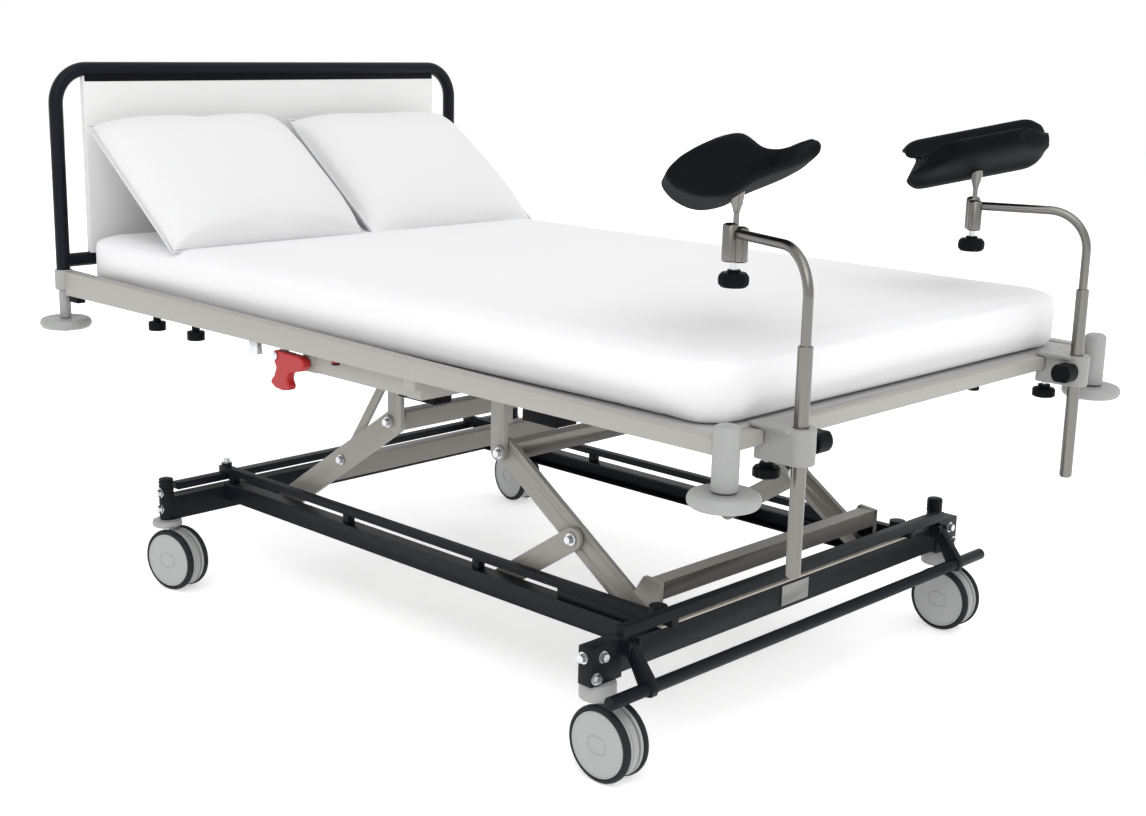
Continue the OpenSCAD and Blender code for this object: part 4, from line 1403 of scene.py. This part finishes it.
@dataclass
class Pillow:
    """Soft pillow with a piped seam and full corners."""

    side: int
    width: float = 0.572
    length: float = 0.490
    seam: float = 0.010
    seam_rise: float = 0.056
    top: float = 0.080
    under: float = 0.040
    slope: float = 29.0
    top_lip: float = 0.045
    low_lip: float = 0.025
    gap: float = 0.014
    aside: float = -0.010
    piping: float = 0.0028
    columns: int = 72
    rows: int = 62

    def __post_init__(self) -> None:
        """Finds the pillow's own frame from its CAD node."""
        self.hand = "left" if self.side < 0 else "right"
        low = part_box(f"pillow_{self.hand}")[0]
        a = math.radians(self.slope)
        self.along = Vector((0, math.cos(a), math.sin(a)))
        self.up = Vector((0, -math.sin(a), math.cos(a)))
        self.origin = Vector((self.side * (self.gap + self.width / 2), low.y + self.top_lip * math.sin(a),
                              low.z - self.low_lip * math.cos(a)))

    def spot(self, u: float, v: float, lift: float) -> Vector:
        """A point of the pillow from plan places in -1..1 and a height.

        Args:
            u: across the pillow.
            v: along the slope.
            lift: height over the seam.

        Returns:
            The point.
        """
        rise = (1 + v) / 2
        x = self.width / 2 * u * (1 - 0.010 * (1 - v * v) - 0.035 * rise ** 3) + self.aside
        y = self.length / 2 + v * (1 - 0.014 * (1 - u * u)) * (self.length / 2 - 0.018)
        height = self.seam + self.seam_rise * rise + lift
        return self.origin + Vector((x, 0, 0)) + self.along * y + self.up * height

    def fullness(self, u: float, v: float) -> float:
        """How full the pillow is at a plan place, 0 at the seam."""
        return (max(0.0, 1 - abs(u) ** 4.4) * max(0.0, 1 - abs(v) ** 3.6)) ** 0.5

    def skin(self) -> bpy.types.Object:
        """Two sheets joined at the seam.

        Returns:
            The closed skin.
        """
        mesh = bmesh.new()
        sheets = []
        for sign, depth in ((1, self.top), (-1, self.under)):
            sheet = []
            for j in range(self.rows + 1):
                row = []
                for i in range(self.columns + 1):
                    u = math.sin(math.pi / 2 * (2 * i / self.columns - 1))
                    v = math.sin(math.pi / 2 * (2 * j / self.rows - 1))
                    lift = sign * depth * self.fullness(u, v)
                    row.append(mesh.verts.new(self.spot(u, v, lift)))
                sheet.append(row)
            sheets.append(sheet)
            for j in range(self.rows):
                for i in range(self.columns):
                    ring = (sheet[j][i], sheet[j][i + 1], sheet[j + 1][i + 1], sheet[j + 1][i])
                    mesh.faces.new(ring if sign > 0 else ring[::-1])
        bmesh.ops.remove_doubles(mesh, verts=mesh.verts, dist=1e-5)
        bmesh.ops.recalc_face_normals(mesh, faces=mesh.faces)
        data = bpy.data.meshes.new("pillow")
        mesh.to_mesh(data)
        mesh.free()
        smooth(data, 180.0)
        return link(f"pillow_soft_{self.hand}", data)

    def crease(self, piece: bpy.types.Object) -> None:
        """Gathers run in from the seam, and the lower side lies flat.

        Args:
            piece: the swollen skin.
        """
        floor = self.origin + self.up * 0.0012
        for vertex in piece.data.vertices:
            p = vertex.co
            local = p - self.origin
            u = (local.x - self.aside) / (self.width / 2)
            v = local.dot(self.along) / (self.length / 2) - 1
            w = local.dot(self.up)
            near = max(abs(u), abs(v)) ** 3
            if w > self.seam + self.seam_rise * (1 + v) / 2 + 0.002:
                pull = noise.noise(Vector((local.x * 17, v * 5.0, self.side * 4.0))) * abs(v) ** 3
                pull += noise.noise(Vector((u * 4.0, v * 9.0, self.side * 9.0))) * abs(u) ** 4
                p -= self.up * (0.0045 * near * (0.5 + 0.5 * pull) + 0.0018 * noise.noise(p * 7.0) + 0.0018)
            if (p - floor).dot(self.up) < 0:
                p -= self.up * (p - floor).dot(self.up)

    def cord(self) -> bpy.types.Object:
        """Piping along the seam, swept by the bar tree.

        Returns:
            The piping.
        """
        path = []
        steps = 26
        for start, step in (((-1, -1), (1, 0)), ((1, -1), (0, 1)), ((1, 1), (-1, 0)), ((-1, 1), (0, -1))):
            for k in range(steps):
                t = 2 * k / steps
                path.append(self.spot(start[0] + step[0] * t, start[1] + step[1] * t, 0.0))
        seed = path_of(f"piping_{self.hand}", path, loop=True)
        return bar_tree().run(seed, Radius=self.piping, Steps=10, Material=Finish.PIPING.get())

    def build(self) -> None:
        """Builds the pillow."""
        piece = self.skin()
        inflate(piece, 3.0, 14, 0.006)
        self.crease(piece)
        refine(piece)
        dress(piece, Finish.LINEN, "back", "linen_white", f"pillow_{self.hand}")
        dress(self.cord(), Finish.PIPING, "back", "linen_white")


# ---------------------------------------------------------------- leg supports


def cut_corners(points: Outline, rounds: int) -> list[tuple[float, float]]:
    """A closed outline with its corners cut again and again.

    Args:
        points: the outline's corners.
        rounds: how often they are cut.

    Returns:
        The finer outline.
    """
    for _ in range(rounds):
        cut = []
        for (u0, z0), (u1, z1) in zip(points, list(points[1:]) + [points[0]]):
            cut += [(u0 + (u1 - u0) * t, z0 + (z1 - z0) * t) for t in (0.25, 0.75)]
        points = cut
    return list(points)


@dataclass
class Pad:
    """Saddle pad: a lobe, a peak, a valley and a wing, drawn across the leg."""

    length: float = 0.296
    reach: float = 0.155
    slope: float = 12.0
    turn: float = 46.0
    level: float = 1.092
    end: float = 0.30
    blunt: float = 2.8
    rounding: float = 0.006
    tip: float = 0.34
    fill: float = 0.95
    passes: int = 16
    outline: Outline = (
        (-0.133, 0.021), (-0.113, 0.044), (-0.065, 0.071), (-0.011, 0.088), (0.009, 0.076), (0.036, 0.053),
        (0.065, 0.059), (0.100, 0.077), (0.124, 0.086), (0.141, 0.077), (0.131, 0.055), (0.096, 0.035),
        (0.043, 0.014), (0.012, 0.000), (-0.013, -0.018), (-0.065, -0.028), (-0.108, -0.012), (-0.129, 0.008))

    def build(self, name: str, spot: Vector, inner: int) -> bpy.types.Object:
        """Draws the pad about its stem.

        Args:
            name: the piece's name.
            spot: a point on the stem's axis.
            inner: 1 or -1, the way to the middle of the bed along X.

        Returns:
            The pad.
        """
        line = cut_corners(self.outline, 2)
        count = len(line)
        inward = []
        for i in range(count):
            (u0, z0), (u1, z1) = line[i - 1], line[(i + 1) % count]
            along = Vector((u1 - u0, z1 - z0)).normalized()
            inward.append(Vector((along.y, -along.x)))
        heart = Vector((sum(u for u, _ in line) / count, sum(z for _, z in line) / count))
        ridge = max(z for _, z in line)
        rings = []
        steps = 34
        for k in range(steps + 1):
            t = math.sin(math.pi / 2 * (2 * k / steps - 1))
            s = max(0.0, (abs(t) - 1 + self.end) / self.end)
            scale = max(self.tip, 1 - s ** self.blunt) ** (1 / self.blunt)
            e = self.rounding * (1 - scale)
            ring = []
            for (u, z), way in zip(line, inward):
                half = min(self.length / 2, math.sqrt(self.reach ** 2 - u * u))
                level = z + s * s * self.fill * max(0.0, ridge - 0.02 - z) if z > heart.y else z
                u1 = heart.x + (u + way.x * e - heart.x) * (0.45 + 0.55 * scale)
                z1 = heart.y + (level + way.y * e - heart.y) * scale
                ring.append(Vector((u1, t * half, z1)))
            rings.append(ring)
        piece = Form().rings(rings).done(name)
        place = (Matrix.Translation((spot.x, spot.y, self.level)) @ Matrix.Diagonal((inner, 1, 1, 1))
                 @ Matrix.Rotation(-math.radians(self.turn), 4, "Z")
                 @ Matrix.Rotation(-math.radians(self.slope), 4, "X"))
        piece.data.transform(place)
        if inner < 0:
            piece.data.flip_normals()
        return refine(remeshed(piece, 0.0042, self.passes))


@dataclass
class LegSupport:
    """Clamp, tube, bent rod, block and saddle pad at one foot corner."""

    key: str
    side: int
    tube_radius: float = 0.013
    rod_radius: float = 0.009
    tube_foot: float = 0.462
    tube_top: float = 0.860
    arm_level: float = 1.018
    bend: float = 0.080
    half_radius: float = 0.0145
    half_offset: float = 0.0088
    split: float = math.radians(46.0)
    block_low: float = 0.968
    block_top: float = 1.036
    star_radius: float = 0.0245

    def __post_init__(self) -> None:
        """Reads the rod and the pad places from the record."""
        self.rod = pivot(f"leg_{self.key}_swivel")
        self.pad_spot = pivot(f"leg_{self.key}_pad_turn")
        self.inner = -self.side

    def body(self, part: str) -> str:
        """Name of one of the support's bodies."""
        return f"leg_{self.key}_{part}"

    def clamp(self) -> None:
        """Cast clamp, its side grip and the star knob with its screw."""
        node = self.body("clamp")
        dress(softened(node, node + "_cast", 0.0022, 5), Finish.CLAMP, node, "cover_grey", node)
        lock = self.body("lock")
        dress(softened(lock, lock + "_grip", 0.0016, 5), Finish.BLACK, lock, "black_plastic", lock)
        knob = self.body("clamp_knob")
        low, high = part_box(knob)
        centre = pivot(f"leg_{self.key}_clamp_screw")
        r = self.star_radius
        lobes = [(0.0, 0.0), (r * 0.8, 0.0), (r, 0.003), (r, 0.016), (r * 0.86, 0.0195), (0.013, 0.0205),
                 (0.013, 0.027), (0.0, 0.027)]
        star = Form().lathe([(q, low.z + rise) for q, rise in lobes], (centre.x, centre.y, 0), "z", 96,
                            lambda a: 1 - 0.09 * max(0.0, math.cos(6 * a)) ** 2)
        dress(star.done(knob + "_star"), Finish.BLACK, knob, "black_plastic", knob)
        screw = Form().lathe([(0.0, low.z + 0.0265), (0.006, low.z + 0.0265), (0.006, high.z - 0.001),
                              (0.005, high.z), (0.0, high.z)], (centre.x, centre.y, 0), "z", 32)
        dress(screw.done(knob + "_screw"), Finish.ZINC, knob, "zinc")

    def tube(self) -> None:
        """Lower tube with an end plug and a turned-in rim at its top."""
        node = self.body("tube")
        r = self.tube_radius
        z0, z1 = self.tube_foot, self.tube_top
        profile = [(0.0, z0 - 0.003), (r - 0.003, z0 - 0.003), (r - 0.0015, z0 - 0.0015), (r - 0.0015, z0),
                   (r - 0.0006, z0), (r, z0 + 0.0008), (r, z1 - 0.0012), (r - 0.0012, z1),
                   (self.rod_radius + 0.0006, z1), (self.rod_radius + 0.0002, z1 - 0.0006),
                   (0.0, z1 - 0.0006)]
        form = Form().lathe(profile, (self.rod.x, self.rod.y, 0), "z", 48)
        dress(form.done(node + "_turned"), Finish.STEEL, node, "steel", node)

    def arm(self) -> None:
        """Bent rod along its path, and the block that takes the stem."""
        node = self.body("arm")
        base = Vector((self.rod.x, self.rod.y, 0))
        target = Vector((self.pad_spot.x, self.pad_spot.y, 0))
        ahead = (target - base).normalized()
        level = Vector((0, 0, self.arm_level))
        centre = base + level + ahead * self.bend - Vector((0, 0, self.bend))
        path = [base + Vector((0, 0, self.tube_top - 0.02)),
                *arc(centre, -ahead * self.bend, Vector((0, 0, self.bend)), 16)]
        path.append(target + level - ahead * 0.012)
        bar = bar_tree().run(path_of(node + "_rod", path), Radius=self.rod_radius, Steps=28,
                             Material=Finish.STEEL.get())
        dress(bar, Finish.STEEL, node, "steel", node)
        across = Vector((self.inner * math.cos(self.split), -math.sin(self.split), 0))
        r, z0, z1 = self.half_radius, self.block_low, self.block_top
        form = Form()
        for way, low, top in ((-1, z0, z1), (1, z0 - 0.001, z1 - 0.006)):
            off = target + across * way * self.half_offset
            profile = [(0.0, low), (r - 0.002, low), (r, low + 0.002), (r, top - 0.005),
                       (r - 0.0015, top - 0.002), (r - 0.006, top), (0.0, top + 0.0005)]
            form.lathe(profile, (off.x, off.y, 0), "z", 48)
        dress(form.done(node + "_block"), Finish.STEEL, node, "steel")

    def pad(self) -> None:
        """Saddle pad on its stem, and the knob under the block."""
        node = self.body("pad")
        spot = self.pad_spot
        piece = Pad().build(node + "_saddle", spot, self.inner)
        dress(piece, Finish.PAD, node, "pad_black", node)
        stem = [(0.0, -0.004), (0.0052, -0.004), (0.0052, 0.019), (0.0066, 0.021), (0.0074, 0.026),
                (0.0105, 0.034), (0.0112, 0.042), (0.0122, 0.044), (0.0130, 0.058), (0.0134, 0.066),
                (0.0, 0.072)]
        form = Form().lathe([(q, self.block_top + rise) for q, rise in stem], (spot.x, spot.y, 0), "z", 40)
        dress(form.done(node + "_socket"), Finish.STEEL, node, "steel")
        knob = self.body("pad_knob")
        low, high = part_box(knob)
        r = (high.x - low.x) / 2
        rim = [(0.0, 0.0), (r - 0.006, 0.0), (r - 0.001, 0.005), (r, 0.013), (r - 0.001, 0.020),
               (r - 0.006, 0.026), (0.012, 0.0275), (0.012, 0.031), (0.0, 0.031)]
        wheel = Form().lathe([(q, low.z + rise) for q, rise in rim], (spot.x, spot.y, 0), "z", 96,
                             lambda a: 1 - 0.05 * max(0.0, math.cos(9 * a)) ** 4)
        dress(wheel.done(knob + "_wheel"), Finish.BLACK, knob, "black_plastic", knob)
        stud = Form().lathe([(0.0, low.z + 0.030), (0.007, low.z + 0.030), (0.007, high.z), (0.0, high.z)],
                            (spot.x, spot.y, 0), "z", 32)
        dress(stud.done(knob + "_stud"), Finish.ZINC, knob, "zinc")

    def build(self) -> None:
        """Builds the support."""
        self.clamp()
        self.tube()
        self.arm()
        self.pad()


# ---------------------------------------------------------------- studio


@dataclass
class Studio:
    """Camera, floor, lights and backdrop."""

    place: Point = (-2.68188, -2.64851, 1.36296)
    yaw: float = 46.38
    pitch: float = 13.106
    roll: float = 1.342
    lens: float = 51.36
    floor_half: float = 14.0
    floor_tint: Point = (0.93, 0.93, 0.93)
    floor_lift: float = 0.42
    fill: float = 0.92
    sky_way: Point = (-0.30, -0.52, 1.0)
    sky_power: float = 0.8
    sky_width: float = 60.0
    key_spot: Point = (-3.0, -2.8, 3.2)
    key_target: Point = (0.0, 0.0, 0.6)
    key_size: float = 2.4
    key_power: float = 28.0

    def camera(self) -> None:
        """Camera at chest height, off the left foot corner."""
        data = bpy.data.cameras.new("camera")
        data.lens = self.lens
        data.sensor_width = 36.0
        made = bpy.data.objects.new("camera", data)
        bpy.context.scene.collection.objects.link(made)
        y, p, r = (math.radians(a) for a in (self.yaw, self.pitch, self.roll))
        ahead = Vector((math.sin(y) * math.cos(p), math.cos(y) * math.cos(p), -math.sin(p)))
        right = Vector((math.cos(y), -math.sin(y), 0))
        up = right.cross(ahead)
        side = right * math.cos(r) + up * math.sin(r)
        top = up * math.cos(r) - right * math.sin(r)
        turn = Matrix((side, top, -ahead)).transposed().to_4x4()
        made.matrix_world = Matrix.Translation(self.place) @ turn
        bpy.context.scene.camera = made

    def floor(self) -> None:
        """Plain pale floor."""
        h = self.floor_half
        mesh = bpy.data.meshes.new("floor")
        mesh.from_pydata([(-h, -h, 0), (h, -h, 0), (h, h, 0), (-h, h, 0)], [], [(0, 1, 2, 3)])
        piece = link("floor", mesh)
        g = Graph("floor_paint")
        g.set(Base_Color=(*self.floor_tint, 1.0), Roughness=0.7, Specular_IOR_Level=0.2,
              Emission_Color=(1.0, 1.0, 1.0, 1.0), Emission_Strength=self.floor_lift)
        mesh.materials.append(g.material)

    def lamp(self, name: str, spot: Point, target: Point, size: float, power: float) -> None:
        """One soft area light.

        Args:
            name: its name.
            spot: where it hangs.
            target: what it faces.
            size: its side.
            power: its power in watts.
        """
        data = bpy.data.lights.new(name, "AREA")
        data.shape = "SQUARE"
        data.size = size
        data.energy = power
        made = bpy.data.objects.new(name, data)
        made.location = spot
        made.rotation_euler = (Vector(target) - Vector(spot)).to_track_quat("-Z", "Y").to_euler()
        bpy.context.scene.collection.objects.link(made)

    def sun(self, name: str, way: Point, power: float, angle: float) -> None:
        """Wide, even light from one side of the sky.

        Args:
            name: its name.
            way: the way toward it.
            power: its strength.
            angle: how wide it looks, in degrees.
        """
        data = bpy.data.lights.new(name, "SUN")
        data.energy = power
        data.angle = math.radians(angle)
        made = bpy.data.objects.new(name, data)
        made.rotation_euler = Vector(way).to_track_quat("Z", "Y").to_euler()
        bpy.context.scene.collection.objects.link(made)

    def world(self) -> None:
        """White backdrop for the eye, softer light for the rest."""
        world = bpy.data.worlds.new("backdrop")
        bpy.context.scene.world = world
        world.use_nodes = True
        tree = world.node_tree
        tree.nodes.clear()
        rays = tree.nodes.new("ShaderNodeLightPath")
        pick = tree.nodes.new("ShaderNodeMixShader")
        out = tree.nodes.new("ShaderNodeOutputWorld")
        tree.links.new(rays.outputs["Is Camera Ray"], pick.inputs[0])
        for slot, strength in ((1, self.fill), (2, 1.0)):
            light = tree.nodes.new("ShaderNodeBackground")
            light.inputs["Color"].default_value = (1, 1, 1, 1)
            light.inputs["Strength"].default_value = strength
            tree.links.new(light.outputs[0], pick.inputs[slot])
        tree.links.new(pick.outputs[0], out.inputs[0])

    def build(self) -> None:
        """Sets the studio up."""
        self.camera()
        self.floor()
        self.world()
        self.sun("sky", self.sky_way, self.sky_power, self.sky_width)
        self.lamp("key", self.key_spot, self.key_target, self.key_size, self.key_power)
        bpy.context.scene.view_settings.view_transform = "Standard"


# ---------------------------------------------------------------- the table


def main() -> None:
    logging.basicConfig(level=logging.INFO, format="%(message)s")
    Base().build()
    Brake().build()
    for key in CORNERS:
        Caster(key).build()
    Lift().build()
    BedFrame().build()
    Bumpers().build()
    Headboard().build()
    Mattress().build()
    for side in (-1, 1):
        Pillow(side).build()
    for key, side in (("l", -1), ("r", 1)):
        LegSupport(key, side).build()
    Studio().build()


if __name__ == "__main__":
    main()
